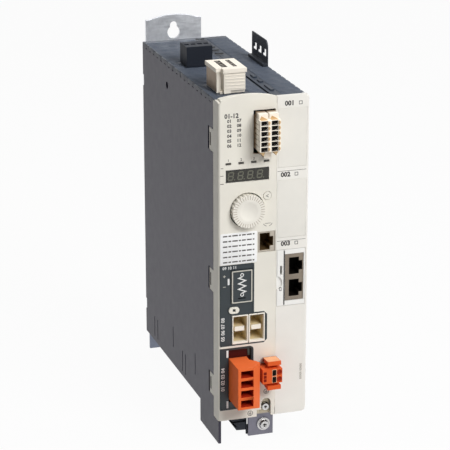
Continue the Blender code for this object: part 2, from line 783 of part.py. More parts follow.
def connector_column():
    """The dark housing of the connector column: flank, roof, floor and front leg."""
    section = [
        (MAIN_RIGHT, 0), (LEFT, 0), (LEFT, HEIGHT), (MAIN_RIGHT, HEIGHT),
        (MAIN_RIGHT, HEIGHT - WALL), (LEFT + WALL, HEIGHT - WALL), (LEFT + WALL, WALL), (MAIN_RIGHT, WALL),
    ]
    housing = slab("main_housing", "XZ", section, FLANK_FRONT, SHELL_REAR, DARK_GREY)
    brow_low = (LEFT + COVER_EAR + SEAT, SKIN_REAR + SEAT, HEIGHT - WALL)
    brow = brick_cutter("main_roof_brow", brow_low, (MAIN_RIGHT, FLANK_FRONT + LAP, HEIGHT))
    leg_rear = FRONT + LEG_LENGTH
    leg_side = [
        (FRONT, -LEG_DROP), (leg_rear, -LEG_DROP), (leg_rear, WALL),
        (FLANK_FRONT, WALL), (FLANK_FRONT, -SEAT), (FRONT, -SEAT),
    ]
    leg = slab_cutter("main_leg", "YZ", leg_side, LEFT, LEFT + WALL)
    join(housing, brow, leg)
    plugs = [
        ((x[0] + TAIL_INSET - SEAT, y[0] + TAIL_INSET - SEAT, HEIGHT - WALL - OVERCUT),
         (x[1] - TAIL_INSET + SEAT, y[1] - TAIL_INSET + SEAT, HEIGHT + OVERCUT))
        for x, y in ((SUPPLY_X, SUPPLY_Y), (MAINS_X, MAINS_Y))
    ]
    groove = [(
        (MAIN_RIGHT - SEAM_GROOVE, FLANK_FRONT + VENT_LAND, HEIGHT - WALL / 2),
        (MAIN_RIGHT + OVERCUT, SUPPLY_Y[1] + VENT_PITCH * 2, HEIGHT + OVERCUT),
    )]
    flank_out, flank_in = LEFT - OVERCUT, LEFT + WALL + OVERCUT
    cut(
        housing,
        boxes_cutter("main_roof_openings", roof_louvres() + plugs + groove),
        boxes_cutter("main_floor_louvres", floor_louvres(LEFT + WALL + VENT_LAND, MAIN_RIGHT - VENT_LAND)),
        boxes_cutter("main_latch_notches", latch_notches(flank_out, flank_in)),
        boxes_cutter("main_flank_slits", flank_slits(flank_out, flank_in)),
    )
    hole = rods_mesh(
        "main_flank_hole", SIDE_HOLE_RADIUS, WALL * 3, 16, [(0, 0, 0)], (0, 0, 0)
    )
    side_hole = (LEFT + WALL / 2, FRONT + SIDE_HOLE_BEHIND, HEIGHT - SIDE_HOLE_BELOW)
    cut(housing, cutter("main_flank_hole", hole, side_hole, (0, math.pi / 2, 0)))


def slot_column():
    """The dark housing of the option-slot column, with clips along the roof seam."""
    corner = (RIGHT - CARRIER_CORNER, CARRIER_CORNER)
    inner = CARRIER_CORNER - WALL
    section = [(CARRIER_LEFT, 0), *arc(corner, CARRIER_CORNER, -90, 0, 5), (RIGHT, HEIGHT)]
    section += [(CARRIER_LEFT, HEIGHT), (CARRIER_LEFT, HEIGHT - WALL), (RIGHT - WALL, HEIGHT - WALL)]
    section += [*arc(corner, inner, 0, -90, 5), (CARRIER_LEFT, WALL)]
    carrier = slab("slot_carrier", "XZ", section, FLANK_FRONT, SHELL_REAR, DARK_GREY)
    brow_high = (RIGHT - WALL - SEAT, FLANK_FRONT + LAP, HEIGHT)
    brow = brick_cutter("slot_roof_brow", (CARRIER_LEFT, SKIN_REAR + SEAT, HEIGHT - WALL), brow_high)
    clip_x = (CARRIER_LEFT + SEAM_GROOVE * 1.5, CARRIER_LEFT + SEAM_GROOVE * 3)
    clips = []
    for behind, length in SEAM_CLIPS:
        low = (clip_x[0], FRONT + behind, HEIGHT - WALL / 2)
        clips.append((low, (clip_x[1], FRONT + behind + length, HEIGHT + LAP)))
    join(carrier, brow, boxes_cutter("slot_roof_clips", clips))
    comb_y = (-COMB_FROM_PANEL - COMB_LENGTH, -COMB_FROM_PANEL)
    louvres = []
    floor = HEIGHT - WALL - VENT_NOTCH
    for row in louvre_rows(FLANK_FRONT + VENT_LAND, SHELL_REAR - VENT_LAND * 2):
        reach = RIGHT - COMB_FOOT - VENT_LAND if near(row, comb_y) else RIGHT + OVERCUT
        low = (clip_x[1] + VENT_LAND / 2, row - VENT_WIDTH / 2, floor)
        louvres.append((low, (reach, row + VENT_WIDTH / 2, HEIGHT + OVERCUT)))
    flank_in, flank_out = RIGHT - WALL - OVERCUT, RIGHT + OVERCUT
    floor_right = RIGHT - CARRIER_CORNER - VENT_LAND
    cut(
        carrier,
        boxes_cutter("slot_roof_louvres", louvres),
        boxes_cutter("slot_floor_louvres", floor_louvres(CARRIER_LEFT + VENT_LAND, floor_right)),
        boxes_cutter("slot_latch_notches", latch_notches(flank_in, flank_out)),
        boxes_cutter("slot_flank_slits", flank_slits(flank_in, flank_out)),
    )


def cover_shell(name, near_seam, flank, look):
    """A pale cover: skin, rounded outer edge, flank strip, bottom return and latch tabs."""
    inward = 1 if flank < near_seam else -1
    radius = COVER_EDGE_RADIUS
    centre = (flank + inward * radius, FRONT + radius)
    sweep = (-90, -180) if inward > 0 else (-90, 0)
    section = [(near_seam, FRONT), *arc(centre, radius, *sweep, 5)]
    section += [(flank, FLANK_FRONT - SEAT), (flank + inward * WALL, FLANK_FRONT - SEAT)]
    section += [(flank + inward * WALL, SKIN_REAR), (near_seam, SKIN_REAR)]
    shell = slab(name, "XY", section, 0, HEIGHT, look)
    sides = sorted((near_seam, flank + inward * WALL / 2))
    floor_low = (sides[0], FRONT + COVER_SKIN / 2, 0)
    floor = brick_cutter(name + "_return", floor_low, (sides[1], FRONT + COVER_RETURN, WALL))
    strip = sorted((flank, flank + inward * WALL))
    half = LATCH_HEIGHT / 2
    tab_y = (FLANK_FRONT - SEAT - LAP, FLANK_FRONT + LATCH_TAB)
    tabs = [
        ((strip[0], tab_y[0], level - half), (strip[1], tab_y[1], level + half)) for level in LATCH_LEVELS
    ]
    join(shell, floor, boxes_cutter(name + "_tabs", tabs))
    return shell


def dc_panel_outline(inset):
    """Outline of the upper dark panel: a narrow upper field on a wide lower one with chamfered corners."""
    left, right = PANEL_LEFT + inset, PANEL_LEFT + WIDE_PANEL_WIDTH
    low, step, top = DC_BASE + inset, RESISTOR_BASE - inset, LABEL_BASE - inset
    chamfer = PANEL_CHAMFER
    return [
        (left, low), (right - chamfer, low), (right - inset, DC_BASE + chamfer),
        (right - inset, RESISTOR_BASE - chamfer), (right - chamfer, step),
        (PANEL_RIGHT - inset, step), (PANEL_RIGHT - inset, top), (left, top),
    ]


def motor_panel_outline(inset):
    """Outline of the lower dark panel, with its upper right corner rounded."""
    corner = (PANEL_RIGHT - PANEL_CHAMFER, MOTOR_BASE + MOTOR_FIELD - PANEL_CHAMFER)
    low, top = MOTOR_BASE + inset, MOTOR_BASE + MOTOR_FIELD - inset
    left, right = PANEL_LEFT + inset, PANEL_RIGHT - inset
    return [(left, low), (right, low), *arc(corner, PANEL_CHAMFER - inset, 0, 90, 4), (left, top)]


def display_span():
    """Left, right, lower and upper edge of the display window's opening."""
    low = DISPLAY_BASE + DISPLAY_LIFT
    return MAIN_MIDDLE - DISPLAY_WIDTH / 2, MAIN_MIDDLE + DISPLAY_WIDTH / 2, low, low + DISPLAY_HEIGHT


def light_places():
    """Middles of the status lights, in a row above the display."""
    level = display_span()[3] + LIGHT_GAP
    return [(MAIN_MIDDLE + LIGHT_PITCH * (step - 1.5), level) for step in range(4)]


def service_jack_span():
    """Left, right, lower and upper edge of the service jack."""
    right = SPLIT - SERVICE_JACK_MARGIN - SEAT
    low = LABEL_BASE + SERVICE_JACK_LIFT
    return right - SERVICE_JACK_WIDTH, right, low, low + SERVICE_JACK_HEIGHT


def io_recess_span():
    """Left, right, lower and upper edge of the signal plug's recess."""
    right = SPLIT - IO_MARGIN
    height = IO_ROWS * IO_ROW_PITCH + IO_LATCH_ROOM * 2
    return right - IO_PLUG_WIDTH - IO_SIDE_GAP * 2, right, IO_BASE + SEAT, IO_BASE + SEAT + height


def brake_span():
    """Left, right, lower and upper edge of the brake plug."""
    left = PANEL_RIGHT + PANEL_TO_BRAKE
    low = MOTOR_BASE + BRAKE_LIFT
    return left, left + BRAKE_PLUG_WIDTH, low, low + BRAKE_PLUG_HEIGHT


def motor_span():
    """Left, right, lower and upper edge of the motor plug."""
    right = PANEL_RIGHT - MOTOR_MARGIN - MOTOR_ROOM_RIGHT - MOTOR_PLUG_GAP
    low = MOTOR_BASE + MOTOR_PLUG_LIFT
    height = MOTOR_POLES * MOTOR_POLE_PITCH + MOTOR_END_WALL * 2
    return right - MOTOR_PLUG_WIDTH, right, low, low + height


def through_skin(span, grow=0.0):
    """A box that opens the front skin over a span, grown on all sides."""
    left, right, low, high = span
    return (
        (left - grow, FRONT - OVERCUT, low - grow),
        (right + grow, SKIN_REAR + OVERCUT / 2, high + grow),
    )


def inset_span(span, inset):
    """A span drawn in on all four sides."""
    left, right, low, high = span
    return left + inset, right - inset, low + inset, high - inset


def around(point, width, height):
    """A span about a point."""
    return point[0] - width / 2, point[0] + width / 2, point[1] - height / 2, point[1] + height / 2


def pale_front():
    """The front cover with its arched top and the openings for everything behind it."""
    cover = cover_shell("front_cover", MAIN_RIGHT, LEFT, PALE)
    crown_left, crown_right = LEFT + COVER_EDGE_RADIUS, MAIN_RIGHT
    steps = 12
    crown = [(crown_left, HEIGHT - WALL), (crown_right, HEIGHT - WALL)]
    for step in range(steps + 1):
        along = step / steps
        rise = ARCH_RISE * (1 - (2 * along - 1) ** 2)
        crown.append((crown_right + (crown_left - crown_right) * along, HEIGHT + COVER_LIP + rise))
    ear_low = (LEFT + WALL - LAP, SKIN_REAR - LAP, HEIGHT - WALL)
    ear = brick_cutter("front_cover_ear", ear_low, (LEFT + COVER_EAR, FLANK_FRONT - SEAT, HEIGHT))
    join(cover, slab_cutter("front_cover_crown", "XZ", crown, FRONT, SKIN_REAR), ear)
    row = light_places()
    spans = [through_skin(display_span()), through_skin(io_recess_span())]
    spans += [through_skin(around(place, LIGHT_WIDTH, LIGHT_HEIGHT), SEAT) for place in row]
    spans.append(through_skin(service_jack_span(), SEAT))
    spans.append(through_skin(inset_span(brake_span(), BRAKE_TAIL_INSET), SEAT))
    depth = (FRONT - OVERCUT, SKIN_REAR + OVERCUT / 2)
    arch_radius = EARTH_ARCH_WIDTH / 2
    arch_centre = (EARTH_ARCH_X, EARTH_ARCH_TOP - arch_radius)
    arch_foot = [(EARTH_ARCH_X - arch_radius, -OVERCUT), (EARTH_ARCH_X + arch_radius, -OVERCUT)]
    arch = arch_foot + arc(arch_centre, arch_radius, 0, 180, 8)
    arch_rear = FRONT + COVER_RETURN + OVERCUT
    foot_low = (EARTH_FOOT_LEFT, FRONT - OVERCUT, -OVERCUT)
    key_place = (KNOB_X + KEY_OFFSET, KNOB_Z + KEY_RISE)
    hole_depth = COVER_SKIN * 3
    knob_hole = rod_mesh("knob_hole", KNOB_RADIUS + KNOB_GAP, hole_depth, 48)
    key_hole = rod_mesh("key_hole", KEY_RADIUS + SEAT, hole_depth, 16)
    cut(
        cover,
        boxes_cutter("front_openings", spans),
        cutter("knob_hole", knob_hole, (KNOB_X, FRONT, KNOB_Z), PLANES["XZ"][0]),
        cutter("key_hole", key_hole, (key_place[0], FRONT, key_place[1]), PLANES["XZ"][0]),
        slab_cutter("dc_panel_opening", "XZ", dc_panel_outline(0), *depth),
        slab_cutter("motor_panel_opening", "XZ", motor_panel_outline(0), *depth),
        slab_cutter("earth_arch", "XZ", arch, FRONT - OVERCUT, arch_rear),
        brick_cutter("earth_arch_foot", foot_low, (EARTH_ARCH_X, arch_rear, EARTH_FOOT_HEIGHT)),
    )


def slot_window(slot):
    """Left, right, lower and upper edge of an option slot, counted from the top."""
    top = HEIGHT - SLOT_TOP_MARGIN - slot * SLOT_PITCH
    return SPLIT + SLOT_LEFT_MARGIN, RIGHT - SLOT_RIGHT_MARGIN, top - SLOT_HEIGHT, top


def slot_front():
    """The bezel of the option slots and the two blank covers."""
    bezel = cover_shell("carrier_bezel", CARRIER_LEFT, RIGHT, PALE)
    lip_low = (CARRIER_LEFT, FRONT, HEIGHT - WALL)
    lip = brick_cutter("bezel_lip", lip_low, (RIGHT - COVER_EDGE_RADIUS, SKIN_REAR, HEIGHT + COVER_LIP))
    join(bezel, lip)
    radius = CARRIER_CORNER
    outside = arc((RIGHT - radius, radius), radius, -90, 0, 6)
    outside += [(RIGHT + OVERCUT, radius), (RIGHT + OVERCUT, -OVERCUT), (RIGHT - radius, -OVERCUT)]
    corner = slab_cutter("bezel_corner", "XZ", outside, FRONT - OVERCUT, FLANK_FRONT)
    windows = boxes_cutter("bezel_windows", [through_skin(slot_window(slot)) for slot in range(3)])
    cut(bezel, corner, windows)
    for slot in range(2):
        left, right, low, high = inset_span(slot_window(slot), SEAT)
        name = f"slot_cover_{slot + 1}"
        cover = brick(name, (left, FRONT, low), (right, SKIN_REAR, high), PALE)
        tongue_rear = SKIN_REAR + SLOT_TONGUE
        stock = SLOT_TONGUE_THICKNESS
        tongues = [
            ((left + stock, SKIN_REAR - LAP, edge), (right - stock, tongue_rear, edge + stock))
            for edge in (low + SEAT, high - SEAT - stock)
        ]
        join(cover, boxes_cutter(name + "_tongues", tongues))


def port_outline(contact_side, middle):
    """Outline of a data socket on its side: the plug's body to the left, its latch to the right."""
    half, latch = JACK_PORT_HEIGHT / 2, JACK_LATCH_HEIGHT / 2
    right = contact_side + JACK_PORT_WIDTH
    step = right - JACK_LATCH_WIDTH
    return [
        (contact_side, middle - half), (step, middle - half), (step, middle - latch),
        (right, middle - latch), (right, middle + latch), (step, middle + latch),
        (step, middle + half), (contact_side, middle + half),
    ]


def module_jack_span():
    """Left, right, lower and upper edge of the option module's jacks."""
    right = RIGHT - MODULE_JACK_MARGIN
    middle = sum(slot_window(2)[2:]) / 2
    half = MODULE_JACK_HEIGHT / 2
    return right - MODULE_JACK_WIDTH, right, middle - half, middle + half


def option_module():
    """The module in the lowest slot: its face, its two jacks and its board."""
    left, right, low, high = inset_span(slot_window(2), SEAT)
    jack_left, jack_right, jack_low, jack_high = module_jack_span()
    middle = (low + high) / 2
    face = brick("module_face", (left, FRONT, low), (right, SKIN_REAR, high), PALE)
    light_place = (left + MODULE_LIGHT_OFFSET, middle + MODULE_LIGHT_LIFT)
    light = through_skin(around(light_place, MODULE_LIGHT_WIDTH, MODULE_LIGHT_HEIGHT))
    groove_low = (jack_left - SEAT - MODULE_GROOVE * 2, FRONT - OVERCUT, low - OVERCUT)
    groove_high = (jack_left - SEAT - MODULE_GROOVE, FRONT + MODULE_GROOVE, high + OVERCUT)
    grip = rod_mesh("module_grip", MODULE_GRIP_RADIUS, COVER_SKIN, 24)
    grip_place = (left - MODULE_GRIP_INSET, FRONT, middle - MODULE_GRIP_DROP)
    cut(
        face,
        boxes_cutter("module_openings", [through_skin(module_jack_span(), SEAT), light]),
        brick_cutter("module_groove", groove_low, groove_high),
        cutter("module_grip", grip, grip_place, PLANES["XZ"][0]),
    )
    jack_rear = FRONT + MODULE_JACK_DEPTH
    jack_corner = (jack_left, FRONT + WINDOW_SINK, jack_low)
    jacks = brick("module_jacks", jack_corner, (jack_right, jack_rear, jack_high), TINNED)
    for number, side in enumerate((-1, 1)):
        contact_side = jack_right - MODULE_PORT_RIM - JACK_PORT_WIDTH
        port = port_outline(contact_side, middle + side * MODULE_PORT_PITCH / 2)
        depth = (FRONT - OVERCUT, FRONT + WINDOW_SINK + JACK_PORT_DEPTH)
        cut(jacks, slab_cutter(f"module_port_{number}", "XZ", port, *depth))
    board_right = jack_left - SEAT
    board_low = (board_right - BOARD, SKIN_REAR + SEAT, low + CARD_EDGE)
    brick("module_board", board_low, (board_right, FRONT + MODULE_LENGTH, high - CARD_EDGE), GREEN)


def card_cage():
    """The rack that guides option boards, and the backplane with a socket for each board."""
    board_right = module_jack_span()[0] - SEAT
    board_left = board_right - BOARD
    skin_left = CARRIER_LEFT + RACK_GAP
    skin_right = skin_left + RACK_SKIN
    rear = FRONT + MODULE_LENGTH + SEAT + SOCKET_DEPTH + BOARD
    rack_front = FLANK_FRONT + SEAT
    rack_low = (skin_left, rack_front, WALL + SEAT)
    rack = brick("card_rack", rack_low, (skin_right, rear, HEIGHT - WALL - SEAT), BLACK)
    rails, grooves, sockets = [], [], []
    rail_y = (FRONT + MODULE_JACK_DEPTH + LAP * 2, FRONT + MODULE_LENGTH - LAP * 2)
    for slot in range(3):
        low, high = (edge for edge in inset_span(slot_window(slot), SEAT)[2:])
        for edge, way in ((low + CARD_EDGE, -1), (high - CARD_EDGE, 1)):
            ends = sorted((edge - way * RAIL_GRIP, edge - way * RAIL_GRIP + way * RAIL_THICKNESS))
            rails.append((
                (skin_right - RACK_SKIN / 2, rail_y[0], ends[0]),
                (board_right + RAIL_LIP, rail_y[1], ends[1]),
            ))
            mouth = sorted((edge - way * (RAIL_GRIP + OVERCUT), edge + way * SEAT))
            grooves.append((
                (board_left - SEAT, rail_y[0] - OVERCUT, mouth[0]),
                (board_right + SEAT, rail_y[1] + OVERCUT, mouth[1]),
            ))
        middle = (low + high) / 2
        socket_front = FRONT + MODULE_LENGTH + SEAT
        sockets.append((
            (board_left - SOCKET_LIP, socket_front, middle - SOCKET_HEIGHT / 2),
            (board_right + SOCKET_LIP, rear - BOARD / 2, middle + SOCKET_HEIGHT / 2),
        ))
    join(rack, boxes_cutter("card_rails", rails))
    cut(rack, boxes_cutter("card_grooves", grooves))
    back_low = (skin_right + SEAT, rear - BOARD, slot_window(2)[2])
    backplane = brick("slot_backplane", back_low, (RIGHT - WALL - SEAT, rear, slot_window(0)[3]), GREEN)
    join(backplane, boxes_cutter("backplane_sockets", sockets))


def operator_field():
    """Display, lights, knob with its encoder, key and service jack, all on the control board."""
    left, right, low, high = inset_span(display_span(), SEAT)
    window_front = FRONT + WINDOW_SINK
    window_rear = window_front + WINDOW_THICKNESS
    brick("display_window", (left, window_front, low), (right, window_rear, high), SMOKED)
    brick("display_block", (left, window_rear + SEAT, low), (right, CONTROL_SEAT, high), BLACK)
    row = light_places()
    bridge_front = FRONT + LIGHT_BRIDGE_DEPTH
    bridge = LIGHT_BRIDGE / 2
    guide = brick(
        "light_guide",
        (row[0][0] - bridge, bridge_front, row[0][1] - bridge),
        (row[3][0] + bridge, bridge_front + LIGHT_BRIDGE, row[3][1] + bridge),
        CLEAR,
    )
    pipes = []
    for place in row:
        span = around(place, LIGHT_WIDTH, LIGHT_HEIGHT)
        pipes.append(((span[0], FRONT - LIGHT_PROUD, span[2]), (span[1], CONTROL_SEAT, span[3])))
    join(guide, boxes_cutter("light_pipes", pipes))
    board_low = (LEFT + WALL + SEAT, CONTROL_FACE, LABEL_BASE + LAP)
    board_high = (MAIN_RIGHT, CONTROL_FACE + BOARD, HEIGHT - WALL - LAP)
    brick("control_board", board_low, board_high, GREEN)
    knob_group()
    escape_key()
    jack_left, jack_right, jack_low, jack_high = service_jack_span()
    jack_corner = (jack_left, FRONT + WINDOW_SINK, jack_low)
    jack = brick("service_jack", jack_corner, (jack_right, CONTROL_SEAT, jack_high), TINNED)
    rim = (SERVICE_JACK_WIDTH - JACK_PORT_WIDTH) / 2
    port = port_outline(jack_left + rim, (jack_low + jack_high) / 2)
    port_depth = (FRONT - OVERCUT, FRONT + WINDOW_SINK + JACK_PORT_DEPTH)
    cut(jack, slab_cutter("service_port", "XZ", port, *port_depth))


def fluted_outline(radius, flutes, depth):
    """A round outline whose edge is scalloped by even flutes."""
    points = []
    per_flute = 6
    for step in range(flutes * per_flute):
        turn = 2 * math.pi * step / (flutes * per_flute)
        wave = abs(math.sin(turn * flutes / 2))
        reach = radius - depth * (1 - wave)
        points.append((reach * math.cos(turn), reach * math.sin(turn)))
    return points


def knob_group():
    """The press-and-turn knob, its shaft, the plunger that the shaft pushes and the encoder."""
    axis = empty("knob_axis", (KNOB_X, FRONT, KNOB_Z))
    axis.parent = ORIGIN
    thickness = KNOB_PROUD + KNOB_SKIRT
    knob_middle = (KNOB_SKIRT - KNOB_PROUD) / 2
    mesh = outline_mesh("knob", fluted_outline(KNOB_RADIUS, KNOB_FLUTES, KNOB_FLUTE_DEPTH), (), thickness)
    knob = part("knob", mesh, PALE, (KNOB_X, FRONT + knob_middle, KNOB_Z), PLANES["XZ"][0])
    hang(knob, axis)
    sphere_radius = (KNOB_DISH_RADIUS ** 2 + KNOB_DISH_DEPTH ** 2) / (2 * KNOB_DISH_DEPTH)
    reach = math.degrees(math.asin(KNOB_DISH_RADIUS / sphere_radius))
    steps = 6
    dish = [(0, OVERCUT), (KNOB_DISH_RADIUS, OVERCUT)]
    dish += [
        (radius, height + sphere_radius - KNOB_DISH_DEPTH)
        for radius, height in arc((0, 0), sphere_radius, -90 + reach, -90, steps)
    ]
    dish_at = (KNOB_X, FRONT - KNOB_PROUD, KNOB_Z)
    dish_cutter = cutter("knob_dish", turned_mesh("knob_dish", dish, 40), dish_at, TO_FRONT)
    shaft_front = FRONT + KNOB_SKIRT - SHAFT_GRIP
    bore_front = shaft_front - SEAT
    bore_length = FRONT + KNOB_SKIRT + OVERCUT - bore_front
    bore = rod_mesh("knob_bore", SHAFT_RADIUS + SEAT, bore_length, 20)
    bore_at = (KNOB_X, bore_front + bore_length / 2, KNOB_Z)
    cut(knob, dish_cutter, cutter("knob_bore", bore, bore_at, PLANES["XZ"][0]))
    stop = CONTROL_SEAT - BUSH_WALL
    plunger_rear = stop - KNOB_TRAVEL - SEAT
    plunger_front = plunger_rear - PLUNGER_LENGTH
    for name, front, rear in (
        ("knob_shaft", shaft_front, plunger_front - SEAT),
        ("knob_plunger", plunger_front, plunger_rear),
    ):
        rod = rod_mesh(name, SHAFT_RADIUS, rear - front, 20)
        piece = part(name, rod, STEEL, (KNOB_X, (front + rear) / 2, KNOB_Z), PLANES["XZ"][0])
        hang(piece, axis)
    half = ENCODER_SIZE / 2
    body_front = CONTROL_SEAT - ENCODER_DEPTH
    body_low = (KNOB_X - half, body_front, KNOB_Z - half)
    encoder = brick("encoder", body_low, (KNOB_X + half, CONTROL_SEAT, KNOB_Z + half), TINNED)
    bush = rod_mesh("encoder_bush", SHAFT_RADIUS + SEAT + BUSH_WALL, BUSH_LENGTH + LAP, 20)
    bush_at = (KNOB_X, body_front - BUSH_LENGTH / 2 + LAP / 2, KNOB_Z)
    join(encoder, cutter("encoder_bush", bush, bush_at, PLANES["XZ"][0]))
    well_front = body_front - BUSH_LENGTH - OVERCUT
    well = rod_mesh("encoder_well", SHAFT_RADIUS + SEAT, stop - well_front, 20)
    cut(encoder, cutter("encoder_well", well, (KNOB_X, (stop + well_front) / 2, KNOB_Z), PLANES["XZ"][0]))


def escape_key():
    """The small round key by the knob and the switch that it pushes."""
    x, z = KNOB_X + KEY_OFFSET, KNOB_Z + KEY_RISE
    front = FRONT - KEY_PROUD
    key_rear = front + KEY_LENGTH
    stem = rod_mesh("escape_key", KEY_RADIUS, KEY_LENGTH, 16)
    part("escape_key", stem, PALE, (x, (front + key_rear) / 2, z), PLANES["XZ"][0])
    switch_low = (x - KEY_RADIUS, key_rear + KEY_TRAVEL + SEAT, z - KEY_RADIUS)
    brick("key_switch", switch_low, (x + KEY_RADIUS, CONTROL_SEAT, z + KEY_RADIUS), BLACK)


def signal_connector():
    """The two-column signal plug and the header that it seats in."""
    left, right, low, high = io_recess_span()
    plug_left, plug_right = left + IO_SIDE_GAP, right - IO_SIDE_GAP
    plug_low, plug_high = low + IO_LATCH_ROOM, high - IO_LATCH_ROOM
    face, body_rear = FRONT - IO_PROUD, FRONT + IO_PLUG_BODY_REAR
    plug = brick("io_plug", (plug_left, face, plug_low), (plug_right, body_rear, plug_high), CREAM)
    tail_span = inset_span((plug_left, plug_right, plug_low, plug_high), IO_TAIL_INSET)
    tail_rear = body_rear + IO_TAIL
    tail = brick_cutter(
        "io_tail", (tail_span[0], body_rear - LAP, tail_span[2]), (tail_span[1], tail_rear, tail_span[3])
    )
    column = IO_PLUG_WIDTH / 2
    latch_inset = column / 16
    latches = []
    for step in range(2):
        start = plug_left + column * step
        latches.append((
            (start + latch_inset, face + IO_LATCH_HEIGHT, plug_high - LAP),
            (start + column - latch_inset, FRONT - LAP, plug_high + IO_LATCH_HEIGHT),
        ))
    nub = (
        (plug_left + column - IO_NUB_WIDTH / 2, face + IO_NUB_DROP, plug_low - IO_NUB_DROP),
        (plug_left + column + IO_NUB_WIDTH / 2, FRONT - LAP, plug_low + LAP),
    )
    join(plug, tail, boxes_cutter("io_latches", latches + [nub]))
    places, teeth = [], []
    for row in range(IO_ROWS):
        level = plug_low + IO_ROW_PITCH * (row + 0.5)
        for step in range(2):
            hole_x = plug_left + column * (step + IO_HOLE_SHARE)
            places.append((hole_x, face + IO_HOLE_DEPTH / 2 - LAP, level))
    for row in range(1, IO_ROWS):
        level = plug_low + IO_ROW_PITCH * row
        teeth.append((
            (plug_left - OVERCUT, face + LAP, level - IO_TOOTH_DEPTH / 2),
            (plug_left + IO_TOOTH_DEPTH, FRONT, level + IO_TOOTH_DEPTH / 2),
        ))
    hole_mesh = rods_mesh("io_wire_holes", IO_HOLE_RADIUS, IO_HOLE_DEPTH + LAP, 10, places)
    cut(plug, cutter("io_wire_holes", hole_mesh), boxes_cutter("io_teeth", teeth))
    header_low = (left + SEAT, body_rear + SEAT, low + SEAT)
    header = brick("io_header", header_low, (right - SEAT, CONTROL_SEAT, high - SEAT), BLACK)
    pocket = brick_cutter(
        "io_pocket",
        (tail_span[0] - SEAT, body_rear - OVERCUT, tail_span[2] - SEAT),
        (tail_span[1] + SEAT, tail_rear + SEAT, tail_span[3] + SEAT),
    )
    cut(header, pocket)


def dc_socket_spans():
    """Spans of the two DC-bus sockets, left then right."""
    right = PANEL_LEFT + WIDE_PANEL_WIDTH - DC_SOCKET_MARGIN
    low = DC_BASE + (DC_FIELD - DC_SOCKET_HEIGHT) / 2
    spans = []
    for step in (1, 0):
        edge = right - step * (DC_SOCKET_WIDTH + DC_SOCKET_GAP)
        spans.append((edge - DC_SOCKET_WIDTH, edge, low, low + DC_SOCKET_HEIGHT))
    return spans


def resistor_cover_span():
    """Left, right, lower and upper edge of the braking-resistor cover."""
    right = PANEL_RIGHT - RESISTOR_COVER_MARGIN
    low = RESISTOR_BASE + RESISTOR_COVER_LIFT
    return right - RESISTOR_COVER_WIDTH, right, low, low + RESISTOR_COVER_HEIGHT


def dc_sockets():
    """The two DC-bus sockets, each a well with a tongue at mid-height."""
    for side, span in zip(("left", "right"), dc_socket_spans()):
        left, right, low, high = span
        front = FRONT - DC_SOCKET_PROUD
        well_rear = front + DC_SOCKET_DEPTH
        socket = brick(f"dc_socket_{side}", (left, front, low), (right, TERMINAL_SEAT, high), CREAM)
        inner = inset_span(span, DC_SOCKET_WALL)
        well = brick_cutter(
            f"dc_well_{side}",
            (inner[0], front - OVERCUT, low + DC_SOCKET_SILL),
            (inner[1], well_rear, inner[3]),
        )
        x, z = (left + right) / 2, (low + high) / 2
        half_width, half_height = DC_TONGUE_WIDTH / 2, DC_TONGUE_HEIGHT / 2
        tongue = brick_cutter(
            f"dc_tongue_{side}",
            (x - half_width, front + DC_TONGUE_SINK, z - half_height),
            (x + half_width, well_rear + LAP, z + half_height),
        )
        cut(socket, well)
        join(socket, tongue)


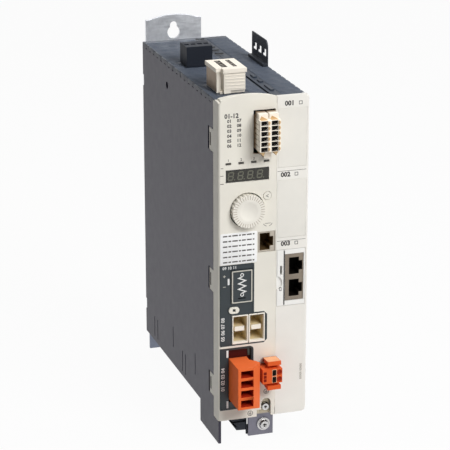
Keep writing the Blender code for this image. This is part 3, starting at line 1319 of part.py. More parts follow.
def dark_panels():
    """The two dark panels, the braking-resistor cover with its header, and the cover's catch."""
    sockets = dc_socket_spans()
    socket_hole = rectangle(
        sockets[0][0] - SEAT, sockets[1][1] + SEAT, sockets[0][2] - SEAT, sockets[0][3] + SEAT
    )
    cover_span = resistor_cover_span()
    cover_hole = rectangle(*inset_span(cover_span, -SEAT))
    slab(
        "dc_panel", "XZ", dc_panel_outline(SEAT), PANEL_FRONT, PANEL_REAR, SLATE, (socket_hole, cover_hole)
    )
    left, right, low, high = cover_span
    cover_front = FRONT - RESISTOR_COVER_PROUD
    cover = brick("resistor_cover", (left, cover_front, low), (right, PANEL_REAR, high), SLATE)
    leg_rear = PANEL_REAR + RESISTOR_COVER_LEG
    legs = [
        ((left + SEAT, PANEL_REAR - LAP, edge), (right - SEAT, leg_rear, edge + WALL))
        for edge in (low + SEAT, high - SEAT - WALL)
    ]
    join(cover, boxes_cutter("resistor_cover_legs", legs))
    field = inset_span(cover_span, RESISTOR_COVER_RIM)
    x = (left + right) / 2
    slit_z = low + RESISTOR_COVER_RIM * 3
    slit = around((x, slit_z), PRY_SLIT_WIDTH, PRY_SLIT_HEIGHT)
    sunk = cover_front + RESISTOR_COVER_PROUD / 2
    field_low = (field[0], cover_front - OVERCUT, field[2])
    cut(
        cover,
        brick_cutter("resistor_field", field_low, (field[1], sunk, field[3])),
        brick_cutter("pry_slit", (slit[0], cover_front, slit[2]), (slit[1], FRONT + LAP, slit[3])),
    )
    header_rear = TERMINAL_SEAT
    header_span = inset_span(cover_span, WALL + SEAT * 2)
    header_low = (header_span[0], header_rear - RESISTOR_HEADER_DEPTH, header_span[2])
    header = brick("resistor_header", header_low, (header_span[1], header_rear, header_span[3]), BLACK)
    poles = 3
    pitch = (header_span[3] - header_span[2]) / poles
    wells = []
    for pole in range(poles):
        level = header_span[2] + pitch * pole
        wells.append((
            (header_span[0] + WALL, header_low[1] - OVERCUT, level + WALL / 2),
            (header_span[1] - WALL, header_rear - WALL * 2, level + pitch - WALL / 2),
        ))
    cut(header, boxes_cutter("resistor_wells", wells))
    catch_x, catch_z = PANEL_LEFT + CATCH_OFFSET, RESISTOR_BASE + CATCH_LIFT
    radius = CATCH_HEIGHT / 2
    run = (CATCH_LENGTH - CATCH_HEIGHT) / 2
    oval = arc((catch_x + run, catch_z), radius, -90, 90, 8)
    oval += arc((catch_x - run, catch_z), radius, 90, 270, 8)
    hole = rectangle(*around((catch_x, catch_z), CATCH_HOLE, CATCH_HOLE))
    catch_rear = PANEL_FRONT - SEAT
    slab("cover_catch", "XZ", oval, catch_rear - CATCH_THICKNESS, catch_rear, CREAM, (hole,))
    room = motor_room_span()
    slab(
        "motor_panel", "XZ", motor_panel_outline(SEAT), PANEL_FRONT, PANEL_REAR, SLATE, (rectangle(*room),)
    )


def motor_room_span():
    """Left, right, lower and upper edge of the opening around the motor plug."""
    left, right, low, high = motor_span()
    gap = MOTOR_PLUG_GAP
    room_right = right + gap + MOTOR_ROOM_RIGHT
    return left - gap, room_right, low - MOTOR_ROOM_BELOW, high + MOTOR_ROOM_ABOVE


def motor_connector():
    """The motor plug with its slanted wing and wire entries, and the header behind the panel."""
    span = motor_span()
    left, right, low, high = span
    face, rear = FRONT - MOTOR_PROUD, FRONT + MOTOR_BODY_REAR
    edge = left + MOTOR_FACE_WIDTH
    tip, tip_front = edge + MOTOR_WING, face + MOTOR_WING_SETBACK
    heel, heel_y = tip - MOTOR_WING_TAPER, tip_front + MOTOR_WING_TIP
    shoulder_y = heel_y + (heel - right)
    wing = [(edge, face), (tip, tip_front), (heel, heel_y), (right, shoulder_y)]
    plug = slab("motor_plug", "XY", [(left, rear), (left, face), *wing, (right, rear)], low, high, ORANGE)
    keel = [(x, y, low + LAP) for x, y in wing]
    for (x, y), drop in zip(wing, (0, MOTOR_WING_DROP, MOTOR_WING_DROP, 0)):
        keel.append((x, y, low - drop))
    tail_span = inset_span(span, MOTOR_TAIL_INSET)
    tail_rear = rear + MOTOR_TAIL
    tail = brick_cutter(
        "motor_tail", (tail_span[0], rear - LAP, tail_span[2]), (tail_span[1], tail_rear, tail_span[3])
    )
    join(plug, hull_cutter("motor_keel", keel), tail)
    entry_left = left + MOTOR_ENTRY_INSET
    entries = []
    for pole in range(MOTOR_POLES):
        base = low + MOTOR_END_WALL + MOTOR_POLE_PITCH * pole + MOTOR_ENTRY_WALL / 2
        entry_top = base + MOTOR_POLE_PITCH - MOTOR_ENTRY_WALL
        entries.append((
            (entry_left, face - OVERCUT, base),
            (entry_left + MOTOR_ENTRY_WIDTH, face + MOTOR_ENTRY_DEPTH, entry_top),
        ))
    cut(plug, boxes_cutter("motor_entries", entries))
    room = motor_room_span()
    header_front = PANEL_REAR + SEAT
    header = brick(
        "motor_header", (room[0], header_front, room[2]), (room[1], TERMINAL_SEAT, room[3]), MAROON
    )
    pocket = brick_cutter(
        "motor_pocket",
        (tail_span[0] - SEAT, header_front - OVERCUT, tail_span[2] - SEAT),
        (tail_span[1] + SEAT, tail_rear + SEAT, tail_span[3] + SEAT),
    )
    cut(header, pocket)


def brake_connector():
    """The brake plug with its latch levers and release buttons, and its header."""
    span = brake_span()
    left, right, low, high = span
    face, rear = FRONT - BRAKE_PROUD, FRONT - SEAT
    plug = brick("brake_plug", (left, face, low), (right, rear, high), ORANGE)
    tail_span = inset_span(span, BRAKE_TAIL_INSET)
    tail_rear = rear + BRAKE_TAIL
    tail = brick_cutter(
        "brake_tail", (tail_span[0], rear - LAP, tail_span[2]), (tail_span[1], tail_rear, tail_span[3])
    )
    join(plug, tail)
    middle = (left + right) / 2
    lever_middle = middle + BRAKE_LEVER_OFFSET
    lever_x = (lever_middle - BRAKE_LEVER_WIDTH / 2, lever_middle + BRAKE_LEVER_WIDTH / 2)
    web_x = (lever_x[0] + BRAKE_WEB_INSET, lever_x[1] - BRAKE_WEB_INSET)
    lever_front = face + LAP
    lever_rear = lever_front + BRAKE_LEVER_LENGTH
    web_y = (lever_front + lever_rear - BRAKE_WEB_LENGTH) / 2
    for name, edge, way in (("upper", high, 1), ("lower", low, -1)):
        inner = edge + way * BRAKE_LEVER_GAP
        outer = inner + way * BRAKE_LEVER_THICKNESS
        blade = [
            (lever_front, inner), (lever_front, outer),
            (lever_rear, outer - way * BRAKE_LEVER_TAPER), (lever_rear, inner),
        ]
        web = [
            (web_y, edge - way * LAP), (web_y, inner + way * LAP),
            (web_y + BRAKE_WEB_LENGTH, inner + way * LAP), (web_y + BRAKE_WEB_LENGTH, edge - way * LAP),
        ]
        join(
            plug,
            slab_cutter(f"brake_web_{name}", "YZ", web, *web_x),
            slab_cutter(f"brake_lever_{name}", "YZ", blade, *lever_x),
        )
    centre_z = (low + high) / 2
    wells = []
    for name, way in (("lower", -1), ("upper", 1)):
        z = centre_z + way * BRAKE_BUTTON_PITCH / 2
        button_rear = face - BRAKE_BUTTON_PROUD + BRAKE_BUTTON_LENGTH
        spot = around((middle + BRAKE_BUTTON_OFFSET, z), BRAKE_BUTTON, BRAKE_BUTTON_HEIGHT)
        brick(
            f"brake_release_{name}",
            (spot[0], face - BRAKE_BUTTON_PROUD, spot[2]),
            (spot[1], button_rear, spot[3]),
            BLACK,
        )
        well = inset_span(spot, -SEAT)
        wells.append((
            (well[0], face - OVERCUT, well[2]),
            (well[1], button_rear + BRAKE_BUTTON_TRAVEL + SEAT, well[3]),
        ))
    hole_x = middle + BRAKE_HOLE_OFFSET
    hole_y = face + BRAKE_HOLE_DEPTH / 2 - LAP
    holes = [(hole_x, hole_y, centre_z + way * BRAKE_BUTTON_PITCH / 2) for way in (-1, 1)]
    hole_mesh = rods_mesh("brake_wire_holes", BRAKE_HOLE_RADIUS, BRAKE_HOLE_DEPTH + LAP, 12, holes)
    cut(plug, boxes_cutter("brake_wells", wells), cutter("brake_wire_holes", hole_mesh))
    header_span = inset_span(tail_span, -SEAT - BRAKE_HEADER_WALL)
    header_front = SKIN_REAR + SEAT
    header_right = min(header_span[1], MAIN_RIGHT)
    header = brick(
        "brake_header",
        (header_span[0], header_front, header_span[2]),
        (header_right, TERMINAL_SEAT, header_span[3]),
        BLACK,
    )
    pocket = brick_cutter(
        "brake_pocket",
        (tail_span[0] - SEAT, header_front - OVERCUT, tail_span[2] - SEAT),
        (tail_span[1] + SEAT, tail_rear + SEAT, tail_span[3] + SEAT),
    )
    cut(header, pocket)
    board_low = (LEFT + WALL + SEAT, TERMINAL_SEAT + SEAT, WALL + WALL)
    board_high = (MAIN_RIGHT, TERMINAL_SEAT + SEAT + BOARD, LABEL_BASE - LAP)
    brick("terminal_board", board_low, board_high, GREEN)


def roof_header(name, x, y):
    """A header under the roof with a pocket for a plug's tail. Returns the tail as a shape to join."""
    tail = inset_span((*x, *y), TAIL_INSET)
    tail_base = HEIGHT - TAIL_LENGTH
    outer = inset_span(tail, -SEAT - HEADER_WALL)
    header_top = HEIGHT - WALL - SEAT
    header = brick(
        f"{name}_header",
        (outer[0], outer[2], tail_base - SEAT - HEADER_WALL),
        (outer[1], outer[3], header_top),
        BLACK,
    )
    pocket = brick_cutter(
        f"{name}_pocket",
        (tail[0] - SEAT, tail[2] - SEAT, tail_base - SEAT),
        (tail[1] + SEAT, tail[3] + SEAT, header_top + OVERCUT),
    )
    cut(header, pocket)
    tail_top = HEIGHT + SEAT + LAP
    return brick_cutter(f"{name}_tail", (tail[0], tail[2], tail_base), (tail[1], tail[3], tail_top))


def mains_connector():
    """The dark mains plug on the roof and its header."""
    base, top = HEIGHT + SEAT, HEIGHT + MAINS_HEIGHT
    plug = brick("mains_plug", (MAINS_X[0], MAINS_Y[0], base), (MAINS_X[1], MAINS_Y[1], top), BLACK)
    join(plug, roof_header("mains", MAINS_X, MAINS_Y))
    pitch = MAINS_WIDTH / MAINS_POLES
    entries = []
    for pole in range(MAINS_POLES):
        x = MAINS_X[0] + pitch * (pole + 0.5)
        y = (MAINS_Y[0] + MAINS_Y[1]) / 2
        half = MAINS_ENTRY / 2
        entries.append(((x - half, y - half, top - ENTRY_DEPTH), (x + half, y + half, top + OVERCUT)))
    cut(plug, boxes_cutter("mains_entries", entries))


def supply_connector():
    """The cream double supply plug on the roof and its header."""
    base, top = HEIGHT + SEAT, HEIGHT + SUPPLY_HEIGHT
    left, right = SUPPLY_X
    front, rear = SUPPLY_Y

    def footprint(grow):
        """Stepped outline of the plug, grown on all sides."""
        step_x, step_y = left + SUPPLY_STEP - grow, front + SUPPLY_STEP_DEPTH - grow
        return [
            (step_x, front - grow), (right + grow, front - grow), (right + grow, rear + grow),
            (left - grow, rear + grow), (left - grow, step_y), (step_x, step_y),
        ]

    plug = slab("supply_plug", "XY", footprint(0), base, top, CREAM)
    lip = slab_cutter("supply_lip", "XY", footprint(SUPPLY_LIP), top - SUPPLY_LIP_HEIGHT, top)
    join(plug, lip, roof_header("supply", SUPPLY_X, SUPPLY_Y))
    half_width, half_length = SUPPLY_ENTRY / 2, SUPPLY_ENTRY_LENGTH / 2
    entries = []
    for pole in range(SUPPLY_POLES):
        y = front + SUPPLY_ENTRY_MARGIN + SUPPLY_ENTRY_PITCH * pole
        for row in range(2):
            x = left + SUPPLY_STEP + SUPPLY_ROW_INSET + SUPPLY_ROW_PITCH * row
            entries.append((
                (x - half_width, y - half_length, top - ENTRY_DEPTH),
                (x + half_width, y + half_length, top + OVERCUT),
            ))
    undercut = brick_cutter(
        "supply_undercut",
        (left + SUPPLY_STEP + SUPPLY_FOOT, front - OVERCUT, base - OVERCUT),
        (right + OVERCUT, front + SUPPLY_UNDERCUT_DEPTH, base + SUPPLY_UNDERCUT),
    )
    cut(plug, boxes_cutter("supply_entries", entries), undercut)


def cable_comb():
    """The black comb on the roof's right edge, with a foot under it."""
    front, rear = -COMB_FROM_PANEL - COMB_LENGTH, -COMB_FROM_PANEL
    base, top = HEIGHT + SEAT, HEIGHT + COMB_HEIGHT
    corner = (front + COMB_CORNER, top - COMB_CORNER)
    side = [(front, base), (rear, base), (rear, top), *arc(corner, COMB_CORNER, 90, 180, 5)]
    right = RIGHT - COMB_INSET
    left = right - COMB_THICKNESS
    comb = slab("cable_comb", "YZ", side, left, right, BLACK)
    first = (front + rear - COMB_SLOT_PITCH * (COMB_SLOTS - 1)) / 2
    low = base + COMB_SLOT_LIFT
    slots = []
    for slot in range(COMB_SLOTS):
        middle = first + COMB_SLOT_PITCH * slot
        slots.append((
            (left - OVERCUT, middle - COMB_SLOT_WIDTH / 2, low),
            (right + OVERCUT, middle + COMB_SLOT_WIDTH / 2, low + COMB_SLOT_HEIGHT),
        ))
    cut(comb, boxes_cutter("comb_slots", slots))
    foot_low = (right - COMB_FOOT, front, base)
    join(comb, brick_cutter("comb_foot", foot_low, (right - COMB_THICKNESS / 2, rear, base + WALL)))


def back_plate():
    """The steel plate that hangs on the panel, with a keyhole above and an open slot below."""
    tab_left = LEFT + TAB_INSET
    tab_right = tab_left + TAB_WIDTH
    middle = (tab_left + tab_right) / 2
    body = (LEFT + LAP, RIGHT - LAP)
    tab_top = HEIGHT + UPPER_TAB
    crown_half = TAB_WIDTH / 2 - TAB_INSET
    steps = 8
    crown = []
    for step in range(steps + 1):
        across = 1 - 2 * step / steps
        crown.append((middle + crown_half * across, tab_top + UPPER_TAB_CROWN * (1 - across ** 2)))
    slot = KEYHOLE_SLOT_RADIUS
    slot_top = (middle, -LOWER_TAB + KEYHOLE_LIFT + KEYHOLE_RADIUS)
    lower = [(tab_left, LAP), (tab_left, -LOWER_TAB), (middle - slot, -LOWER_TAB)]
    lower += arc(slot_top, slot, 180, 0, 8)
    lower += [(middle + slot, -LOWER_TAB), (tab_right, -LOWER_TAB), (tab_right, LAP)]
    upper = [(tab_left, HEIGHT - LAP), (tab_right, HEIGHT - LAP), (tab_right, tab_top)]
    upper += [*crown, (tab_left, tab_top)]
    eye = (middle, HEIGHT + KEYHOLE_LIFT)
    neck = math.degrees(math.asin(KEYHOLE_SLOT_RADIUS / KEYHOLE_RADIUS))
    keyhole = arc(eye, KEYHOLE_RADIUS, 90 + neck, 450 - neck, 16)
    keyhole += arc((middle, eye[1] + KEYHOLE_RUN), KEYHOLE_SLOT_RADIUS, 0, 180, 8)
    plate = brick("back_plate", (body[0], -PLATE, 0), (body[1], 0, HEIGHT), STEEL)
    join(
        plate,
        slab_cutter("plate_lower_tab", "XZ", lower, -PLATE, 0),
        slab_cutter("plate_upper_tab", "XZ", upper, -PLATE, 0, (keyhole,)),
    )
    places = [(x, 0, z) for x, z in sink_screw_places()]
    holes = rods_mesh("plate_holes", SINK_SCREW_HEAD_RADIUS + SEAT, PLATE * 3, 16, places)
    cut(plate, cutter("plate_holes", holes))


def sink_span():
    """Left and right face of the heat sink."""
    return LEFT + WALL + LAP, RIGHT - WALL - LAP


def sink_screw_places():
    """Where screws hold the heat sink to the back plate, across and up."""
    left, right = sink_span()
    return [((left + right) / 2, level) for level in (SINK_SCREW_LOW, SINK_SCREW_HIGH)]


def heat_sink():
    """The finned heat sink, with the screws that hold it to the back plate."""
    left, right = sink_span()
    rear = SHELL_REAR
    valley = rear - FIN_DEPTH
    base = valley - SINK_BASE
    outline = [(left, base), (right, base)]
    ribs = [FIN_THICKNESS] * FIN_SIDE_COUNT + [SINK_RIB] + [FIN_THICKNESS] * FIN_SIDE_COUNT
    gap = (right - left - sum(ribs)) / (len(ribs) - 1)
    edge = right
    for rib in ribs:
        outline += [(edge, valley), (edge, rear), (edge - rib, rear), (edge - rib, valley)]
        edge -= rib + gap
    outline = outline[:2] + outline[3:-1]
    foot = WALL + SEAT + FAN_HEIGHT + SEAT
    sink = slab("heat_sink", "XY", outline, foot, HEIGHT - WALL - SINK_TOP_GAP, ALUMINIUM)
    tip = -SEAT - SINK_SCREW_HEAD - SINK_SCREW_LENGTH
    places = sink_screw_places()
    drill_y = tip + SINK_SCREW_LENGTH - SEAT
    drilled_places = [(x, drill_y, z) for x, z in places]
    drilled = rods_mesh("sink_holes", SINK_SCREW_RADIUS + SEAT, SINK_SCREW_LENGTH * 2, 12, drilled_places)
    cut(sink, cutter("sink_holes", drilled))
    profile = [
        (0, 0), (SINK_SCREW_HEAD_RADIUS, 0), (SINK_SCREW_HEAD_RADIUS, -SINK_SCREW_HEAD),
        (SINK_SCREW_RADIUS, -SINK_SCREW_HEAD), (SINK_SCREW_RADIUS, -SINK_SCREW_HEAD - SINK_SCREW_LENGTH),
        (0, -SINK_SCREW_HEAD - SINK_SCREW_LENGTH),
    ]
    for level, (x, z) in zip(("lower", "upper"), places):
        screw = turned_mesh(f"plate_screw_{level}", profile, 16)
        part(f"plate_screw_{level}", screw, STEEL, (x, -SEAT, z), TO_PANEL)
    join(sink, cutter("sink_pillars", rods_mesh("sink_pillars", PILLAR_RADIUS, *pillar_run())))


def pillar_run():
    """Length, sides and places of the pillars that carry the power board on the heat sink."""
    left, right = sink_span()
    sink_face = SHELL_REAR - FIN_DEPTH - SINK_BASE
    board_rear = sink_face - POWER_MODULE_THICKNESS - SEAT * 2
    edge = PILLAR_RADIUS * 2
    levels = (POWER_BOARD_BASE + edge, HEIGHT - WALL - POWER_BOARD_TOP_GAP - edge)
    front, rear = board_rear + SEAT, sink_face + LAP
    places = [(x, (front + rear) / 2, z) for x in (left + edge, right - edge) for z in levels]
    return rear - front, 6, places


def cooling_fan():
    """The fan under the heat sink: frame with its spider, and the bladed rotor."""
    centre_y = SHELL_REAR - SEAT - FAN_SIZE / 2
    half = FAN_SIZE / 2
    base = WALL + SEAT
    bore = arc((0, centre_y), FAN_BORE_RADIUS, 0, 360 - 360 / 32, 31)
    frame_outline = rectangle(-half, half, centre_y - half, centre_y + half)
    frame = slab("fan_frame", "XY", frame_outline, base, base + FAN_HEIGHT, BLACK, (bore,))
    reach = FAN_BORE_RADIUS + LAP
    strut = FAN_STRUT / 2
    top = base + FAN_SPIDER
    hub_plate = rod_mesh("fan_hub_plate", FAN_HUB_RADIUS, FAN_SPIDER, 20)
    join(
        frame,
        brick_cutter("fan_strut_x", (-reach, centre_y - strut, base), (reach, centre_y + strut, top)),
        brick_cutter("fan_strut_y", (-strut, centre_y - reach, base), (strut, centre_y + reach, top)),
        cutter("fan_hub_plate", hub_plate, (0, centre_y, base + FAN_SPIDER / 2)),
    )
    pin_base = base + FAN_SPIDER / 3
    socket = rod_mesh("fan_bearing", FAN_PIN_RADIUS + SEAT, FAN_SPIDER, 12)
    cut(frame, cutter("fan_bearing", socket, (0, centre_y, pin_base - SEAT + FAN_SPIDER / 2)))
    axis = empty("fan_axis", (0, centre_y, base))
    axis.parent = ORIGIN
    hub_base, hub_top = top + SEAT, base + FAN_HEIGHT - LAP
    hub = rod_mesh("fan_rotor", FAN_HUB_RADIUS, hub_top - hub_base, 28)
    rotor = part("fan_rotor", hub, BLACK, (0, centre_y, (hub_base + hub_top) / 2))
    hang(rotor, axis)
    tip = FAN_BORE_RADIUS - FAN_TIP_GAP
    root = FAN_HUB_RADIUS - LAP
    blade = bmesh.new()
    for number in range(FAN_BLADES):
        place = (
            Matrix.Translation((0, centre_y, (hub_base + hub_top) / 2))
            @ Matrix.Rotation(2 * math.pi * number / FAN_BLADES, 4, "Z")
            @ Matrix.Translation(((tip + root) / 2, 0, 0))
            @ Matrix.Rotation(FAN_BLADE_PITCH_ANGLE, 4, "X")
            @ Matrix.Diagonal((tip - root, FAN_BLADE_CHORD, FAN_BLADE_THICKNESS, 1))
        )
        bmesh.ops.create_cube(blade, size=1.0, matrix=place)
    pin = rod_mesh("fan_pin", FAN_PIN_RADIUS, hub_base + LAP - pin_base, 12)
    join(
        rotor,
        cutter("fan_blades", mesh_from(blade, "fan_blades")),
        cutter("fan_pin", pin, (0, centre_y, (hub_base + LAP + pin_base) / 2)),
    )


def power_stage():
    """Power module, rectifier, power board, capacitors and the ribbon to the control board."""
    sink_face = SHELL_REAR - FIN_DEPTH - SINK_BASE
    board_rear = sink_face - POWER_MODULE_THICKNESS - SEAT * 2
    board_front = board_rear - BOARD
    for name, width, height, base in (
        ("power_module", POWER_MODULE_WIDTH, POWER_MODULE_HEIGHT, POWER_MODULE_BASE),
        ("rectifier", RECTIFIER_WIDTH, RECTIFIER_HEIGHT, RECTIFIER_BASE),
    ):
        low = (-width / 2, board_rear + SEAT, base)
        brick(name, low, (width / 2, sink_face - SEAT, base + height), BLACK)
    board_high = HEIGHT - WALL - POWER_BOARD_TOP_GAP
    board_low_corner = (LEFT + WALL + SEAT, board_front, POWER_BOARD_BASE)
    brick("power_board", board_low_corner, (RIGHT - WALL - SEAT, board_rear, board_high), GREEN)
    can_rear = board_front - SEAT
    can_x = LEFT + WALL + LAP + CAPACITOR_RADIUS
    for number in range(CAPACITOR_COUNT):
        can = rod_mesh(f"bus_capacitor_{number + 1}", CAPACITOR_RADIUS, CAPACITOR_LENGTH, 24)
        can_at = (can_x, can_rear - CAPACITOR_LENGTH / 2, CAPACITOR_BASE + CAPACITOR_PITCH * number)
        part(f"bus_capacitor_{number + 1}", can, BLUE, can_at, TO_FRONT)
    ribbon_front = CONTROL_FACE + BOARD + SEAT
    run = can_rear - ribbon_front
    x = MAIN_RIGHT - RIBBON_BEND * 3
    steps = 16
    path = []
    for step in range(steps + 1):
        along = step / steps
        path.append((x + RIBBON_BEND * math.sin(2 * math.pi * along), ribbon_front + run * along))
    half = RIBBON_THICKNESS / 2
    strip = [(px + half, py) for px, py in path] + [(px - half, py) for px, py in reversed(path)]
    slab("control_ribbon", "XY", strip, RIBBON_BASE, RIBBON_BASE + RIBBON_WIDTH, GREY)


def earth_terminals():
    """The earth plate under the front, its two screws, and the cable rest beside it."""
    rear = FLANK_FRONT - SEAT
    face = rear - PLATE
    outline = [
        (EARTH_LEFT, -EARTH_DROP), (EARTH_RIGHT, -EARTH_DROP), (EARTH_RIGHT, -SEAT * 3),
        (EARTH_TONGUE_RIGHT, -SEAT * 3), (EARTH_TONGUE_RIGHT, EARTH_TONGUE_TOP),
        (EARTH_TONGUE_LEFT, EARTH_TONGUE_TOP), (EARTH_TONGUE_LEFT, -SEAT * 3), (EARTH_LEFT, -SEAT * 3),
    ]
    places = [(EARTH_ARCH_X, UPPER_SCREW_Z), (LOWER_SCREW_X, LOWER_SCREW_Z)]
    plate = slab("earth_plate", "XZ", outline, face, rear, STEEL)
    holes = rods_mesh("earth_holes", EARTH_SHANK + SEAT, PLATE * 3, 14, [(x, face, z) for x, z in places])
    cut(plate, cutter("earth_holes", holes))

    def screw(name, head, height, washer):
        """A pan-head screw with a washer, seated on a plane at zero and driven towards -Z."""
        top = WASHER + height
        profile = [
            (0, top - SCREW_RECESS), (head * 0.4, top - SCREW_RECESS), (head * 0.4, top),
            (head * 0.8, top), (head, top - SCREW_HEAD / 2), (head, WASHER), (washer, WASHER), (washer, 0),
            (EARTH_SHANK, 0), (EARTH_SHANK, -EARTH_SHANK_LENGTH), (0, -EARTH_SHANK_LENGTH),
        ]
        return turned_mesh(name, profile, 20)

    for name, head, height, washer, (x, z) in (
        ("earth_screw_upper", UPPER_HEAD_RADIUS - SEAT, UPPER_HEAD, UPPER_HEAD_RADIUS, places[0]),
        ("earth_screw_lower", LOWER_HEAD_RADIUS, SCREW_HEAD, WASHER_RADIUS, places[1]),
    ):
        part(name, screw(name, head, height, washer), STEEL, (x, face - SEAT, z), TO_FRONT)
    rest_top = -SEAT
    slope = (REST_RIGHT - REST_LEFT) / 2
    section = [
        (REST_LEFT, rest_top), (REST_LEFT, rest_top - REST_DROP / 3), (REST_LEFT + slope, -REST_DROP),
        (REST_RIGHT, -REST_DROP), (REST_RIGHT, rest_top),
    ]
    rest_front = FLANK_FRONT + SEAT
    rest = slab("cable_rest", "XZ", section, rest_front, rest_front + REST_LENGTH, BLACK)
    ribs = int((REST_DROP - REST_RIB) / REST_RIB_PITCH)
    grooves = []
    for rib in range(ribs):
        level = rest_top - REST_RIB_PITCH * (rib + 0.5) - REST_RIB
        low = (REST_LEFT + slope / 2, rest_front - OVERCUT, level - REST_RIB / 2)
        grooves.append((low, (REST_RIGHT + OVERCUT, rest_front + REST_RIB, level + REST_RIB / 2)))
    cut(rest, boxes_cutter("rest_grooves", grooves))


connector_column()
slot_column()
pale_front()
slot_front()
option_module()
card_cage()
operator_field()
signal_connector()
dc_sockets()
dark_panels()
motor_connector()
brake_connector()
mains_connector()
supply_connector()
cable_comb()
back_plate()
heat_sink()
cooling_fan()
power_stage()
earth_terminals()
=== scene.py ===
"""Looks of the servo drive: finishes, small trim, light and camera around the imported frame.

Metres, +Z up, +X to the right of someone who faces the front, +Y towards the cabinet panel.
"""

import logging
import math
from dataclasses import dataclass, field
from enum import Enum
from typing import Sequence

import bmesh
import bpy
from mathutils import Matrix, Vector

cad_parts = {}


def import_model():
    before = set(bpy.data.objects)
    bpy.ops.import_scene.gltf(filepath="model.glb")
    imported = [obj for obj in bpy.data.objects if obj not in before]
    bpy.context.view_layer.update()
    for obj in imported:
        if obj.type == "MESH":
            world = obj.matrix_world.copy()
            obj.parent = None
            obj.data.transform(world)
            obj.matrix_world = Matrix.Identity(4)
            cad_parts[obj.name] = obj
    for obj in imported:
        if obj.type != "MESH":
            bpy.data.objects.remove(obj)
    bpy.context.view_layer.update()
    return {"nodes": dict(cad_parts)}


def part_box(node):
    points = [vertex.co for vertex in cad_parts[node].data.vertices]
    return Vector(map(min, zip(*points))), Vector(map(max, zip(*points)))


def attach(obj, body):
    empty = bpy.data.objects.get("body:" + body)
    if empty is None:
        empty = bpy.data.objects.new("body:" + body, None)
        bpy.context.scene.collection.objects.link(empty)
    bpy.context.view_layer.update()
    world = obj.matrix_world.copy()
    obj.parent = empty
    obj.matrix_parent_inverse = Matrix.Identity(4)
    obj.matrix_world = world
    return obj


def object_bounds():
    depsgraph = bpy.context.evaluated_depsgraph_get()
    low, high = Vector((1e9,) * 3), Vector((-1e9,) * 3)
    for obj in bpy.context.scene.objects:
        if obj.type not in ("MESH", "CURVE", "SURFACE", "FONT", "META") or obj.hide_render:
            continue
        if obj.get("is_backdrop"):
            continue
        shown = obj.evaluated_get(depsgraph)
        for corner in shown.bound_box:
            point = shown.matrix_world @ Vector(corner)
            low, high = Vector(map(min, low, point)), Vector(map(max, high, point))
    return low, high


LOG = logging.getLogger("servo_drive")
MM = 0.001
PRINT = 0.04 * MM              # how far a print stands proud of its surface
FILM = 0.01 * MM               # the same on the flanks, which are the drive's outer sides
SUNK = 0.2 * MM                # how deep a trim piece reaches into what carries it
LAP = 0.05 * MM                # how far a lining or a lip reaches into what is round it
WELD = 0.001 * MM              # points of a node that lie closer than this are one
JOIN = 1e-7                    # the same for a trim piece
EDGE_ANGLE = 32.0              # degrees above which a node's edge is rounded
SHARP_ANGLE = 35.0             # degrees above which a trim piece's edge stays sharp
EDGE_STEPS = 2                 # flats across a rounded edge
EDGE_SHARE = 0.3               # most of a box's least side that a rounded edge may take
LINER_SKIN = 0.04              # half of a lining's bottom, as a share of the well's depth
TYPE_SIZE = 1.4                # size of the type that gives figures of height 1
SHARPEST_MITRE = 0.35          # least cosine at a line's bend, which keeps its tip short
NOISE_SPAN = (0.3, 0.7)        # where nearly all values of a noise lie
WAVE_RADIANS = 20.0            # what the wave texture runs through in one unit

Colour = tuple[float, float, float]
Point = tuple[float, float, float]
Flat = tuple[float, float]
Span = tuple[float, float, float, float]
Row = tuple[float, ...]
Spots = tuple[Flat, ...]
Socket = bpy.types.NodeSocket


def srgb(red: int, green: int, blue: int) -> Colour:
    """Turn screen bytes into a colour in linear light.

    Args:
        red: Red byte.
        green: Green byte.
        blue: Blue byte.

    Returns:
        The linear colour.
    """
    def linear(byte: int) -> float:
        """One channel in linear light."""
        share = byte / 255
        return share / 12.92 if share <= 0.04045 else ((share + 0.055) / 1.055) ** 2.4

    return linear(red), linear(green), linear(blue)


def tinted(colour: Colour, share: float) -> Colour:
    """A colour made lighter or darker by a share of itself."""
    return tuple(min(1.0, channel * (1 + share)) for channel in colour)


class Axis(Enum):
    """An axis that a finish changes its colour along."""

    DEPTH = "Y"
    HEIGHT = "Z"


@dataclass(frozen=True)
class Turn:
    """A change into a second colour past a level along an axis."""

    colour: Colour
    axis: Axis
    level: float
    fade: float
    drift: float = 0.08
    blotch: float = 3 * MM


